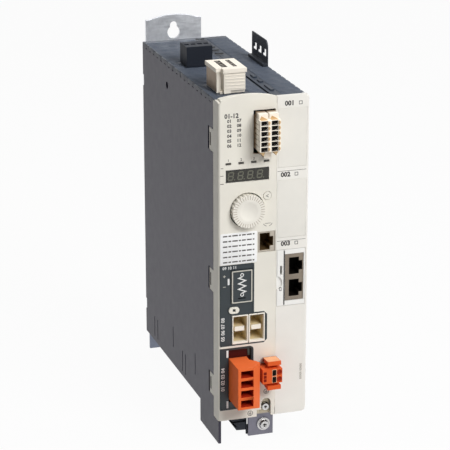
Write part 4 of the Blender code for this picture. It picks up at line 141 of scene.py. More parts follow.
class NodeDesk:
    """A material's node tree, with short names for the nodes that the finishes use."""

    def __init__(self, material: bpy.types.Material) -> None:
        """Open a new material's tree.

        Args:
            material: The material to wire.
        """
        material.use_nodes = True
        self.tree = material.node_tree
        self.shader = self.tree.nodes["Principled BSDF"]
        self.place = self.add("ShaderNodeTexCoord").outputs["Object"]

    def add(self, kind: str) -> bpy.types.Node:
        """Add a node of a kind."""
        return self.tree.nodes.new(kind)

    def link(self, source: Socket, target: Socket) -> None:
        """Join two sockets."""
        self.tree.links.new(source, target)

    def feed(self, name: str, source: Socket) -> None:
        """Drive one of the shader's sockets."""
        self.link(source, self.shader.inputs[name])

    def fix(self, **values: float | Colour) -> None:
        """Set constant values on the shader's own sockets.

        Args:
            values: Socket names, with _ for a space, and their values.
        """
        for name, value in values.items():
            socket = self.shader.inputs[name.replace("_", " ")]
            socket.default_value = (*value, 1) if isinstance(value, tuple) else value

    def stretched(self, scale: Point) -> Socket:
        """Object coordinates drawn out by a scale on each axis.

        Args:
            scale: Scale along X, Y and Z.

        Returns:
            The vector socket.
        """
        mapping = self.add("ShaderNodeMapping")
        mapping.inputs["Scale"].default_value = scale
        self.link(self.place, mapping.inputs["Vector"])
        return mapping.outputs["Vector"]

    def noise(self, size: float, detail: float = 2.0, place: Socket | None = None) -> Socket:
        """Noise whose blotches have a given size.

        Args:
            size: Size of a blotch in metres.
            detail: Octaves of finer noise.
            place: Coordinates, or none for the object's own.

        Returns:
            The noise's value.
        """
        node = self.add("ShaderNodeTexNoise")
        node.inputs["Scale"].default_value = 1 / size
        node.inputs["Detail"].default_value = detail
        self.link(place or self.place, node.inputs["Vector"])
        return node.outputs["Fac"]

    def between(self, factor: Socket, low: Colour, high: Colour) -> Socket:
        """A colour that runs between two others.

        Args:
            factor: What drives it.
            low: Colour at the low end.
            high: Colour at the high end.

        Returns:
            The colour socket.
        """
        ramp = self.add("ShaderNodeValToRGB")
        for stop, place, colour in zip(ramp.color_ramp.elements, NOISE_SPAN, (low, high)):
            stop.position = place
            stop.color = (*colour, 1)
        self.link(factor, ramp.inputs["Fac"])
        return ramp.outputs["Color"]

    def level(self, factor: Socket, low: float, high: float) -> Socket:
        """A number that runs between two others.

        Args:
            factor: What drives it.
            low: Value at the low end.
            high: Value at the high end.

        Returns:
            The value socket.
        """
        node = self.add("ShaderNodeMapRange")
        node.inputs["From Min"].default_value, node.inputs["From Max"].default_value = NOISE_SPAN
        node.inputs["To Min"].default_value = low
        node.inputs["To Max"].default_value = high
        self.link(factor, node.inputs["Value"])
        return node.outputs["Result"]

    def bump(self, height: Socket, strength: float, depth: float) -> None:
        """Raise the surface's grain.

        Args:
            height: What drives the relief.
            strength: How much of it shows.
            depth: Height of the relief in metres.
        """
        node = self.add("ShaderNodeBump")
        node.inputs["Strength"].default_value = strength
        node.inputs["Distance"].default_value = depth
        self.link(height, node.inputs["Height"])
        self.feed("Normal", node.outputs["Normal"])

    def turn(self, change: Turn) -> None:
        """Turn the colour that the shader has so far into a second one.

        Args:
            change: The second colour and where it begins.
        """
        split = self.add("ShaderNodeSeparateXYZ")
        self.link(self.place, split.inputs["Vector"])
        reach = self.add("ShaderNodeMapRange")
        reach.inputs["From Min"].default_value = change.level
        reach.inputs["From Max"].default_value = change.level + change.fade
        self.link(split.outputs[change.axis.value], reach.inputs["Value"])
        shades = tinted(change.colour, -change.drift), tinted(change.colour, change.drift)
        second = self.between(self.noise(change.blotch, detail=4.0), *shades)
        mix = self.add("ShaderNodeMix")
        mix.data_type = "RGBA"
        first = self.shader.inputs["Base Color"].links[0].from_socket
        self.link(reach.outputs["Result"], mix.inputs["Factor"])
        self.link(first, mix.inputs["A"])
        self.link(second, mix.inputs["B"])
        self.feed("Base Color", mix.outputs["Result"])


@dataclass(frozen=True)
class Finish:
    """What every finish has: a name, a colour and a roughness."""

    name: str
    colour: Colour
    roughness: float

    def material(self) -> bpy.types.Material:
        """The finish as a material, made once.

        Returns:
            The material.
        """
        title = self.name + "_finish"
        made = bpy.data.materials.get(title)
        if made is None:
            made = bpy.data.materials.new(title)
            self.wire(NodeDesk(made))
        return made

    def wire(self, desk: NodeDesk) -> None:
        """Wire the nodes of this finish.

        Args:
            desk: The material's nodes.
        """
        raise NotImplementedError


@dataclass(frozen=True)
class Moulding(Finish):
    """Moulded plastic: a fine spark-eroded grain, a slow drift of colour and worn gloss."""

    grain: float = 0.35 * MM
    grain_height: float = 0.03 * MM
    relief: float = 0.12
    clouds: float = 26 * MM
    drift: float = 0.035
    rubs: float = 7 * MM
    wear: float = 0.055
    gloss: float = 0.5
    turn: Turn | None = None

    def wire(self, desk: NodeDesk) -> None:
        """Wire the grain, the drift and the gloss, and the change of colour if there is one.

        Args:
            desk: The material's nodes.
        """
        broad = desk.noise(self.clouds, detail=3.0)
        grain = desk.noise(self.grain)
        worn = desk.noise(self.rubs, detail=4.0)
        shades = tinted(self.colour, -self.drift), tinted(self.colour, self.drift)
        desk.feed("Base Color", desk.between(broad, *shades))
        desk.feed("Roughness", desk.level(worn, self.roughness - self.wear, self.roughness + self.wear))
        desk.fix(Specular_IOR_Level=self.gloss)
        desk.bump(grain, self.relief, self.grain_height)
        if self.turn:
            desk.turn(self.turn)


@dataclass(frozen=True)
class Metal(Finish):
    """Plated or drawn metal, with streaks along the way that it was worked."""

    streak: Point = (1.0, 1.0, 8.0)
    streak_width: float = 1.6 * MM
    streak_height: float = 0.02 * MM
    relief: float = 0.08
    clouds: float = 9 * MM
    drift: float = 0.08
    brighter: float = 0.07
    duller: float = 0.09
    turn: Turn | None = None

    def wire(self, desk: NodeDesk) -> None:
        """Wire the streaks, the plating's cloudiness and the change of colour if there is one.

        Args:
            desk: The material's nodes.
        """
        cloud = desk.noise(self.clouds, detail=4.0)
        drawn_out = desk.stretched(tuple(1 / share for share in self.streak))
        fine = desk.noise(self.streak_width, detail=3.0, place=drawn_out)
        shades = tinted(self.colour, -self.drift), tinted(self.colour, self.drift)
        desk.feed("Base Color", desk.between(cloud, *shades))
        desk.feed("Roughness", desk.level(fine, self.roughness - self.brighter, self.roughness + self.duller))
        desk.fix(Metallic=1.0)
        desk.bump(fine, self.relief, self.streak_height)
        if self.turn:
            desk.turn(self.turn)


@dataclass(frozen=True)
class Lens(Finish):
    """A tinted window or light pipe: smooth, dark in depth, with faint smears."""

    coat: float = 0.6
    coat_roughness: float = 0.08
    clouds: float = 12 * MM
    drift: float = 0.12
    smear: float = 4 * MM
    smear_run: Point = (1.0, 1.0, 0.35)
    haze: float = 0.1

    def wire(self, desk: NodeDesk) -> None:
        """Wire the tint and the smears.

        Args:
            desk: The material's nodes.
        """
        depth = desk.noise(self.clouds)
        smear = desk.noise(self.smear, detail=3.0, place=desk.stretched(self.smear_run))
        shades = tinted(self.colour, -self.drift), tinted(self.colour, self.drift)
        desk.feed("Base Color", desk.between(depth, *shades))
        desk.feed("Roughness", desk.level(smear, self.roughness, self.roughness + self.haze))
        desk.fix(Coat_Weight=self.coat, Coat_Roughness=self.coat_roughness)


@dataclass(frozen=True)
class Print(Finish):
    """Pad print or label stock: matt, a little uneven in cover."""

    mottle: float = 0.1
    blotch: float = 1.2 * MM
    chalk: float = 0.12
    fibre: float = 0.25 * MM
    fibre_height: float = 0.02 * MM
    relief: float = 0.05

    def wire(self, desk: NodeDesk) -> None:
        """Wire the uneven cover and the fibre.

        Args:
            desk: The material's nodes.
        """
        cover = desk.noise(self.blotch, detail=3.0)
        shades = tinted(self.colour, -self.mottle), tinted(self.colour, self.mottle)
        desk.feed("Base Color", desk.between(cover, *shades))
        desk.feed("Roughness", desk.level(cover, self.roughness, self.roughness + self.chalk))
        desk.bump(desk.noise(self.fibre), self.relief, self.fibre_height)


@dataclass(frozen=True)
class Board(Finish):
    """Circuit board: solder mask over copper tracks that show as a slight relief."""

    track: Colour = (0.05, 0.2, 0.09)
    track_scale: float = 90.0
    track_width: float = 0.03
    track_height: float = 0.05 * MM
    relief: float = 0.2
    lighter: float = 0.25
    rubs: float = 5 * MM
    wear: float = 0.1
    across: Point = (1.0, 1.0, 0.0)
    upwards: Point = (0.0, 0.35, 1.0)

    def wire(self, desk: NodeDesk) -> None:
        """Wire the tracks and the mask.

        Args:
            desk: The material's nodes.
        """
        flat = desk.add("ShaderNodeCombineXYZ")
        for target, along in (("X", self.across), ("Y", self.upwards)):
            reach = desk.add("ShaderNodeVectorMath")
            reach.operation = "DOT_PRODUCT"
            reach.inputs[1].default_value = along
            desk.link(desk.place, reach.inputs[0])
            desk.link(reach.outputs["Value"], flat.inputs[target])
        tracks = desk.add("ShaderNodeTexBrick")
        tracks.inputs["Scale"].default_value = self.track_scale
        tracks.inputs["Mortar Size"].default_value = self.track_width
        tracks.inputs["Color1"].default_value = (*self.colour, 1)
        tracks.inputs["Color2"].default_value = (*tinted(self.colour, self.lighter), 1)
        tracks.inputs["Mortar"].default_value = (*self.track, 1)
        desk.link(flat.outputs["Vector"], tracks.inputs["Vector"])
        desk.feed("Base Color", tracks.outputs["Color"])
        desk.feed("Roughness", desk.level(desk.noise(self.rubs), self.roughness, self.roughness + self.wear))
        desk.bump(tracks.outputs["Fac"], self.relief, self.track_height)


@dataclass(frozen=True)
class Ribbon(Finish):
    """Flat cable: round cores side by side under a thin insulation."""

    core_pitch: float = 1.27 * MM
    core_height: float = 0.3 * MM
    relief: float = 0.5
    groove_shade: float = -0.4

    def wire(self, desk: NodeDesk) -> None:
        """Wire the row of cores.

        Args:
            desk: The material's nodes.
        """
        cores = desk.add("ShaderNodeTexWave")
        cores.bands_direction = "Z"
        cores.inputs["Scale"].default_value = math.tau / (WAVE_RADIANS * self.core_pitch)
        desk.link(desk.place, cores.inputs["Vector"])
        groove = tinted(self.colour, self.groove_shade)
        desk.feed("Base Color", desk.between(cores.outputs["Fac"], groove, self.colour))
        desk.fix(Roughness=self.roughness)
        desk.bump(cores.outputs["Fac"], self.relief, self.core_height)


PALE = Moulding("pale_cover_plastic", srgb(235, 231, 220), 0.48, gloss=0.3)
BEZEL = Moulding("pale_bezel_plastic", srgb(238, 235, 228), 0.48, gloss=0.35)
COVER = Moulding("pale_blank_plastic", srgb(233, 230, 222), 0.5, gloss=0.35)
MODULE_WHITE = Moulding("white_module_plastic", srgb(243, 242, 238), 0.42)
KNOB_PLASTIC = Moulding("knob_plastic", srgb(236, 232, 222), 0.42, relief=0.06, gloss=0.35)
# Darker lines on the knob's ring: painted shade standing in for grip grooves.
KNOB_GROOVE_SHADE = Moulding("knob_groove_plastic", srgb(178, 166, 150), 0.6, relief=0.06, gloss=0.2)
SLATE = Moulding(
    "dark_housing_plastic", srgb(63, 61, 74), 0.43,
    grain=0.5 * MM, relief=0.14, drift=0.02, wear=0.02, gloss=0.24,
    # Above 238.6 mm the housing turns darker and bluer: painted shade on the roof and the top of the flanks.
    turn=Turn(srgb(48, 55, 66), Axis.HEIGHT, 238.6 * MM, 1.6 * MM),
)
# The ribs are the housing's own plastic made lighter: painted highlight where light catches the rib tops.
ROOF_SLATE = Moulding("roof_rib_plastic", srgb(78, 86, 99), 0.42, gloss=0.28)
PANEL = Moulding("slate_panel_plastic", srgb(43, 51, 55), 0.45)
BLACK = Moulding("black_plastic", srgb(46, 50, 58), 0.44, gloss=0.25)
MAINS_BLACK = Moulding("mains_plug_plastic", srgb(39, 43, 51), 0.48, gloss=0.1)
# Deep black is the real plastic of the brake buttons and the sockets' linings, and painted shade in slots,
# holes, entries and notches.
PITCH = Moulding("deep_black_plastic", srgb(16, 13, 11), 0.6, gloss=0.08)
PORT_BROWN = Moulding("brown_port_plastic", srgb(84, 66, 42), 0.6, gloss=0.1)
# Dark prints on the flank clips: painted shade where the clips have slots.
CLIP_SHADE = Moulding("clip_slot_plastic", srgb(38, 30, 27), 0.6, gloss=0.08)
ORANGE = Moulding("orange_plug_plastic", srgb(236, 112, 58), 0.5, drift=0.04, gloss=0.06)
BRAKE_ORANGE = Moulding(
    "orange_brake_plastic", srgb(228, 98, 46), 0.5, drift=0.04, gloss=0.1,
    # Behind -200.6 mm the plug turns dark red-brown: painted shade on its rear.
    turn=Turn(srgb(146, 52, 26), Axis.DEPTH, -200.6 * MM, 2.6 * MM),
)
# Pale orange on the upper lever's top: painted highlight.
LEVER_HIGHLIGHT = Moulding("pale_lever_plastic", srgb(246, 178, 132), 0.5, gloss=0.1)
MAROON = Moulding("maroon_header_plastic", srgb(66, 13, 10), 0.48, gloss=0.2)
# Lighter than the dark panel plastic: painted light on the lit wall of the motor recess.
RECESS_WALL_LIGHT = Moulding("recess_wall_plastic", srgb(84, 96, 90), 0.42)
# Dark red discs and rings: painted shade in the brake plug's holes.
HOLE_SHADE_RED = Moulding("dark_red_liner", srgb(160, 42, 20), 0.6, gloss=0.12)
# Dark red sheet lining the motor plug's entries: painted shade inside them.
ENTRY_SHADE = Moulding("red_entry_liner", srgb(176, 44, 20), 0.6, gloss=0.1)
# Dark red squares: painted shade for the brake plug's test openings.
TEST_SLOT_SHADE = Moulding("test_slot_red", srgb(120, 26, 12), 0.6, gloss=0.1)
CREAM = Moulding("cream_plug_plastic", srgb(251, 243, 229), 0.44, gloss=0.25)
SIGNAL_CREAM = Moulding(
    "cream_signal_plastic", srgb(251, 243, 229), 0.44, gloss=0.25,
    # Behind -202 mm the plug turns brown: painted shade on its rear.
    turn=Turn(srgb(124, 102, 78), Axis.DEPTH, -202.0 * MM, 4.0 * MM),
)
# Darker cream on the supply plug's left side: painted shade.
SIDE_SHADE_CREAM = Moulding("cream_side_plastic", srgb(216, 194, 172), 0.5, gloss=0.2)
# Tan is the real plastic of the signal plug's buttons and the board's small parts, and painted shade on the
# signal plug's latch steps and feet.
TAN = Moulding("tan_button_plastic", srgb(208, 174, 126), 0.42)
BUS_SOCKET = Moulding(
    "tan_socket_plastic", srgb(246, 240, 228), 0.5,
    turn=Turn(srgb(226, 208, 166), Axis.DEPTH, -193.4 * MM, 1.4 * MM),
)
IVORY = Moulding("ivory_plastic", srgb(240, 236, 224), 0.42)
GREY_PLASTIC = Moulding("grey_inner_plastic", srgb(120, 122, 124), 0.5)
ZINC = Metal("zinc_plated_steel", srgb(210, 212, 216), 0.42, streak=(6.0, 1.0, 1.0))
BACK_STEEL = Metal(
    "back_plate_steel", srgb(122, 128, 142), 0.42, streak=(6.0, 1.0, 1.0),
    # Below -3 mm the plate stays a darker, bluer steel: painted shade on its lower tab.
    turn=Turn(srgb(210, 212, 216), Axis.HEIGHT, -3.0 * MM, 4.0 * MM),
)
EARTH_STEEL = Metal(
    "earth_plate_steel", srgb(122, 121, 131), 0.42, streak=(1.0, 1.0, 6.0),
    # Above -2.8 mm the plate turns pale tan: painted light on the part seen through the cover's arch, which
    # lies in shade.
    turn=Turn(srgb(196, 184, 162), Axis.HEIGHT, -2.8 * MM, 1.2 * MM),
)
WASHER_STEEL = Metal("washer_steel", srgb(172, 162, 142), 0.5, streak=(3.0, 1.0, 1.0))
SCREW_STEEL = Metal("screw_steel", srgb(206, 205, 204), 0.26, streak=(2.0, 2.0, 2.0))
ALUMINIUM = Metal("extruded_aluminium", srgb(196, 197, 200), 0.36, streak=(1.0, 1.0, 14.0))
SHIELD = Metal("tinned_shield", srgb(136, 126, 114), 0.5, streak=(1.0, 6.0, 1.0))
SERVICE_SHIELD = Metal("bright_shield", srgb(178, 170, 158), 0.5, streak=(1.0, 6.0, 1.0))
GOLD = Metal("gilt_contact", srgb(204, 158, 84), 0.3, streak=(1.0, 5.0, 1.0))
SMOKED = Lens("smoked_display_lens", srgb(38, 36, 30), 0.2, coat=0.1)
PIPE = Lens("dark_light_pipe", srgb(66, 62, 56), 0.25, coat=0.2)
SEGMENT = Lens("unlit_segment", srgb(102, 102, 88), 0.35, coat=0.1)
INK = Print("grey_ink", srgb(88, 85, 82), 0.6)
FAINT_INK = Print("faint_ink", srgb(158, 153, 145), 0.6)
DARK_INK = Print("dark_ink", srgb(52, 50, 50), 0.6)
WHITE_INK = Print("white_ink", srgb(232, 232, 230), 0.55, mottle=0.04)
RIM_INK = Print("pale_rim_ink", srgb(198, 195, 184), 0.5, mottle=0.06)
# Pale lines round the brake plug's buttons: painted highlight on the openings' edges.
BUTTON_EDGE_HIGHLIGHT = Print("pale_orange_ink", srgb(246, 190, 150), 0.5, mottle=0.04)
LABEL_STOCK = Print("white_label_stock", srgb(246, 246, 245), 0.5, mottle=0.02)
MASK = Board("circuit_board_mask", srgb(22, 74, 44), 0.35)
SLEEVE = Moulding("capacitor_sleeve", srgb(36, 44, 72), 0.3)
FLAT_CABLE = Ribbon("flat_cable_insulation", srgb(168, 168, 166), 0.5)


class Shading(Enum):
    """How a node's rounded edges meet its faces."""

    HARD = "hard"
    EVEN = "even"


@dataclass(frozen=True)
class Coat:
    """How a node of the frame is dressed: its finish, the rounding of its edges and their shading."""

    finish: Finish
    rounding: float
    shading: Shading = Shading.HARD


class Facing(Enum):
    """The side that a flat outline looks towards, and the axis that it is drawn out along."""

    FRONT = "front"
    ROOF = "roof"
    FLANK = "flank"

    def point(self, across: float, along: float, level: float) -> Vector:
        """A point in space from its place on the outline.

        Args:
            across: First coordinate of the outline.
            along: Second coordinate of the outline.
            level: Place along the outline's axis.

        Returns:
            The point.
        """
        if self is Facing.FRONT:
            return Vector((across, level, along))
        if self is Facing.ROOF:
            return Vector((across, along, level))
        return Vector((level, across, along))


def rectangle(span: Span) -> list[Flat]:
    """Corners of a span, in order."""
    left, right, low, high = span
    return [(left, low), (right, low), (right, high), (left, high)]


def around(centre: Flat, width: float, height: float) -> Span:
    """A span about a point."""
    across, along = centre
    return across - width / 2, across + width / 2, along - height / 2, along + height / 2


def inset(span: Span, by: float) -> Span:
    """A span drawn in on all four sides."""
    left, right, low, high = span
    return left + by, right - by, low + by, high - by


def arc(centre: Flat, radius: float, start: float, end: float, steps: int) -> list[Flat]:
    """Points along an arc.

    Args:
        centre: Middle of the arc.
        radius: Its radius.
        start: Angle of the first point, in degrees.
        end: Angle of the last point, in degrees.
        steps: Chords between them.

    Returns:
        The points.
    """
    angles = [math.radians(start + (end - start) * step / steps) for step in range(steps + 1)]
    return [(centre[0] + radius * math.cos(a), centre[1] + radius * math.sin(a)) for a in angles]


def ring(centre: Flat, radius: float, steps: int = 24) -> list[Flat]:
    """Outline of a circle."""
    return arc(centre, radius, 0, 360 - 360 / steps, steps - 1)


def rounded(span: Span, radius: float, steps: int = 4) -> list[Flat]:
    """Outline of a span with rounded corners.

    Args:
        span: The span.
        radius: Radius of its corners.
        steps: Chords in each corner.

    Returns:
        The outline.
    """
    left, right, low, high = inset(span, radius)
    corners = ((right, high, 0), (left, high, 90), (left, low, 180), (right, low, 270))
    return [p for x, y, turn in corners for p in arc((x, y), radius, turn, turn + 90, steps)]


def holed(span: Span, radius: float) -> tuple[list[Flat], list[Flat]]:
    """Outlines of a plate with a round hole in its middle.

    Args:
        span: The plate's span.
        radius: Radius of the hole.

    Returns:
        The plate's outline and the hole's, of equal count.
    """
    left, right, low, high = span
    middle = Vector(((left + right) / 2, (low + high) / 2))
    half_width, half_height = (right - left) / 2, (high - low) / 2
    least = 1e-6
    plate, hole = [], []
    for ray in (Vector(point) for point in ring((0.0, 0.0), 1.0)):
        reach = min(half_width / max(abs(ray.x), least), half_height / max(abs(ray.y), least))
        plate.append(tuple(middle + ray * reach))
        hole.append(tuple(middle + ray * radius))
    return plate, hole


def stroke(path: Sequence[Flat], width: float) -> list[Flat]:
    """Outline of a line of even width along a path, with mitred bends.

    Args:
        path: Points of the path.
        width: Width of the line.

    Returns:
        The outline.
    """
    points = [Vector(p) for p in path]
    sides: tuple[list[Flat], list[Flat]] = ([], [])
    for index, point in enumerate(points):
        before = (point - points[index - 1]).normalized() if index else None
        after = (points[index + 1] - point).normalized() if index + 1 < len(points) else None
        ahead = ((before or after) + (after or before)).normalized()
        normal = Vector((-ahead.y, ahead.x))
        leg = Vector((-(after or before).y, (after or before).x))
        reach = width / 2 / max(SHARPEST_MITRE, normal.dot(leg))
        sides[0].append(tuple(point + normal * reach))
        sides[1].append(tuple(point - normal * reach))
    return sides[0] + sides[1][::-1]


@dataclass
class Piece:
    """One visible piece: shapes are gathered here and become one object that rides on a body."""

    name: str
    body: str
    finish: Finish
    slot: str = ""
    shape: bmesh.types.BMesh = field(default_factory=bmesh.new)

    def block(self, low: Sequence[float], high: Sequence[float], soft: float = 0.2 * MM) -> None:
        """Add a box with rounded edges.

        Args:
            low: Its lowest corner.
            high: Its highest corner.
            soft: Radius of its edges.
        """
        size = Vector(high) - Vector(low)
        middle = (Vector(high) + Vector(low)) / 2
        place = Matrix.Translation(middle) @ Matrix.Diagonal((*size, 1))
        made = bmesh.ops.create_cube(self.shape, size=1.0, matrix=place)
        edges = dict.fromkeys(edge for vert in made["verts"] for edge in vert.link_edges)
        bmesh.ops.bevel(
            self.shape, geom=list(edges), offset=min(soft, min(size) * EDGE_SHARE), segments=EDGE_STEPS,
            profile=0.5, affect="EDGES",
        )

    def prism(
        self, outline: Sequence[Flat], near: float, far: float, facing: Facing = Facing.FRONT,
        soft: float = 0.0,
    ) -> None:
        """Add a flat outline drawn out along the axis of its facing.

        Args:
            outline: Its corners.
            near: Level of the shown face.
            far: Level of the hidden face.
            facing: The side that it looks towards.
            soft: Radius of the shown face's edges.
        """
        shown = [self.shape.verts.new(facing.point(*p, near)) for p in outline]
        hidden = [self.shape.verts.new(facing.point(*p, far)) for p in outline]
        face = self.shape.faces.new(shown)
        self.shape.faces.new(hidden[::-1])
        for index, vert in enumerate(shown):
            before = index - 1
            self.shape.faces.new((shown[before], hidden[before], hidden[index], vert))
        if soft:
            bmesh.ops.bevel(
                self.shape, geom=list(face.edges), offset=soft, segments=EDGE_STEPS, profile=0.5,
                affect="EDGES",
            )

    def frame(
        self, outer: Sequence[Flat], inner: Sequence[Flat], near: float, far: float,
        facing: Facing = Facing.FRONT,
    ) -> None:
        """Add a ring between two outlines of equal count.

        Args:
            outer: Corners of the outer outline.
            inner: Corners of the inner outline.
            near: Level of the shown face.
            far: Level of the hidden face.
            facing: The side that it looks towards.
        """
        loops = [
            [self.shape.verts.new(facing.point(*p, level)) for p in outline]
            for outline, level in ((outer, near), (inner, near), (inner, far), (outer, far))
        ]
        for index in range(len(outer)):
            for here, there in zip(loops, loops[1:] + loops[:1]):
                self.shape.faces.new((here[index - 1], here[index], there[index], there[index - 1]))

    def loft(self, loops: Sequence[Sequence[Vector]]) -> None:
        """Add a skin drawn over loops of equal count and closed at both ends.

        Args:
            loops: The loops, in order.
        """
        rings = [[self.shape.verts.new(point) for point in loop] for loop in loops]
        for here, there in zip(rings, rings[1:]):
            for index in range(len(here)):
                self.shape.faces.new((here[index - 1], here[index], there[index], there[index - 1]))
        self.shape.faces.new(rings[0])
        self.shape.faces.new(rings[-1][::-1])

    def liner(self, outer: Sequence[Flat], inner: Sequence[Flat], mouth: float, bottom: float) -> None:
        """Add the lining of a well that opens to the front: its walls and its bottom.

        Args:
            outer: Outline against the well's walls.
            inner: Outline of the room inside, of equal count.
            mouth: Level of the well's mouth.
            bottom: Level of the well's bottom.
        """
        skin = (mouth - bottom) * LINER_SKIN
        self.frame(outer, inner, mouth, bottom)
        self.prism(outer, bottom + skin, bottom - skin)

    def figures(
        self, text: str, centre: Flat, height: float, near: float, turn: float = 0.0, weight: float = 0.03
    ) -> None:
        """Add plain printed figures that look to the front.

        Args:
            text: The figures.
            centre: Their middle.
            height: Height of a figure.
            near: Level of the surface that they are printed on.
            turn: Turn of the line of figures, in degrees.
            weight: How much heavier the strokes are, as a share of the height.
        """
        curve = bpy.data.curves.new(self.name + "_figures", "FONT")
        curve.body = text
        curve.align_x, curve.align_y = "CENTER", "CENTER"
        curve.size = height * TYPE_SIZE
        curve.extrude = (PRINT + SUNK) / 2
        curve.offset = height * weight
        curve.resolution_u = 2
        holder = bpy.data.objects.new(curve.name, curve)
        bpy.context.scene.collection.objects.link(holder)
        graph = bpy.context.evaluated_depsgraph_get()
        mesh = bpy.data.meshes.new_from_object(holder.evaluated_get(graph))
        middle = near - (PRINT - SUNK) / 2
        turned = Matrix.Rotation(math.radians(turn), 2)
        for vert in mesh.vertices:
            spot = turned @ vert.co.to_2d()
            vert.co = Vector((centre[0] + spot.x, middle - vert.co.z, centre[1] + spot.y))
        self.shape.from_mesh(mesh)
        bpy.data.objects.remove(holder)
        bpy.data.curves.remove(curve)
        bpy.data.meshes.remove(mesh)

    def printed(self, outline: Sequence[Flat], surface: float, facing: Facing = Facing.FRONT) -> None:
        """Add a printed shape on a surface.

        Args:
            outline: Its corners.
            surface: Level of the surface.
            facing: The side that it looks towards.
        """
        out = -1 if facing is Facing.FRONT else 1
        self.prism(outline, surface + out * PRINT, surface - out * SUNK, facing)

    def place(self) -> bpy.types.Object:
        """Turn the gathered shapes into an object that rides on its body.

        Returns:
            The object.
        """
        bmesh.ops.remove_doubles(self.shape, verts=self.shape.verts, dist=JOIN)
        bmesh.ops.recalc_face_normals(self.shape, faces=self.shape.faces)
        mesh = bpy.data.meshes.new(self.name)
        self.shape.to_mesh(mesh)
        self.shape.free()
        mesh.shade_smooth()
        mesh.set_sharp_from_angle(angle=math.radians(SHARP_ANGLE))
        mesh.materials.append(self.finish.material())
        made = bpy.data.objects.new(self.name, mesh)
        bpy.context.scene.collection.objects.link(made)
        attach(made, self.body)
        return made


@dataclass
class Assembly:
    """A sub-assembly: the frame's nodes that it dresses, and the trim that it adds to them."""

    nodes: dict[str, bpy.types.Object]
    coats: dict[str, Coat] = field(default_factory=dict)
    trim: list[bpy.types.Object] = field(default_factory=list)

    def build(self) -> None:
        """Build the trim; an assembly with none leaves this as it is."""

    def keep(self, *pieces: Piece) -> None:
        """Place finished pieces and keep them for the report."""
        self.trim.extend(piece.place() for piece in pieces)

    def dress(self) -> None:
        """Give every node of this assembly its finish and its rounded edges."""
        for name, coat in self.coats.items():
            node = self.nodes[name]
            mesh = node.data
            mesh.materials.clear()
            mesh.materials.append(coat.finish.material())
            own_normals = mesh.attributes.get("custom_normal")
            if own_normals:
                mesh.attributes.remove(own_normals)
            mesh.shade_smooth()
            self.round_edges(node, coat)

    def round_edges(self, node: bpy.types.Object, coat: Coat) -> None:
        """Round a node's edges with modifiers and even out its shading.

        Args:
            node: The node.
            coat: How it is dressed.
        """
        weld = node.modifiers.new("weld", "WELD")
        weld.merge_threshold = WELD
        edges = node.modifiers.new("edges", "BEVEL")
        edges.width = coat.rounding
        edges.segments = EDGE_STEPS
        edges.limit_method = "ANGLE"
        edges.angle_limit = math.radians(EDGE_ANGLE)
        if coat.shading is Shading.HARD:
            edges.harden_normals = True
        else:
            even = node.modifiers.new("even", "WEIGHTED_NORMAL")
            even.keep_sharp = False


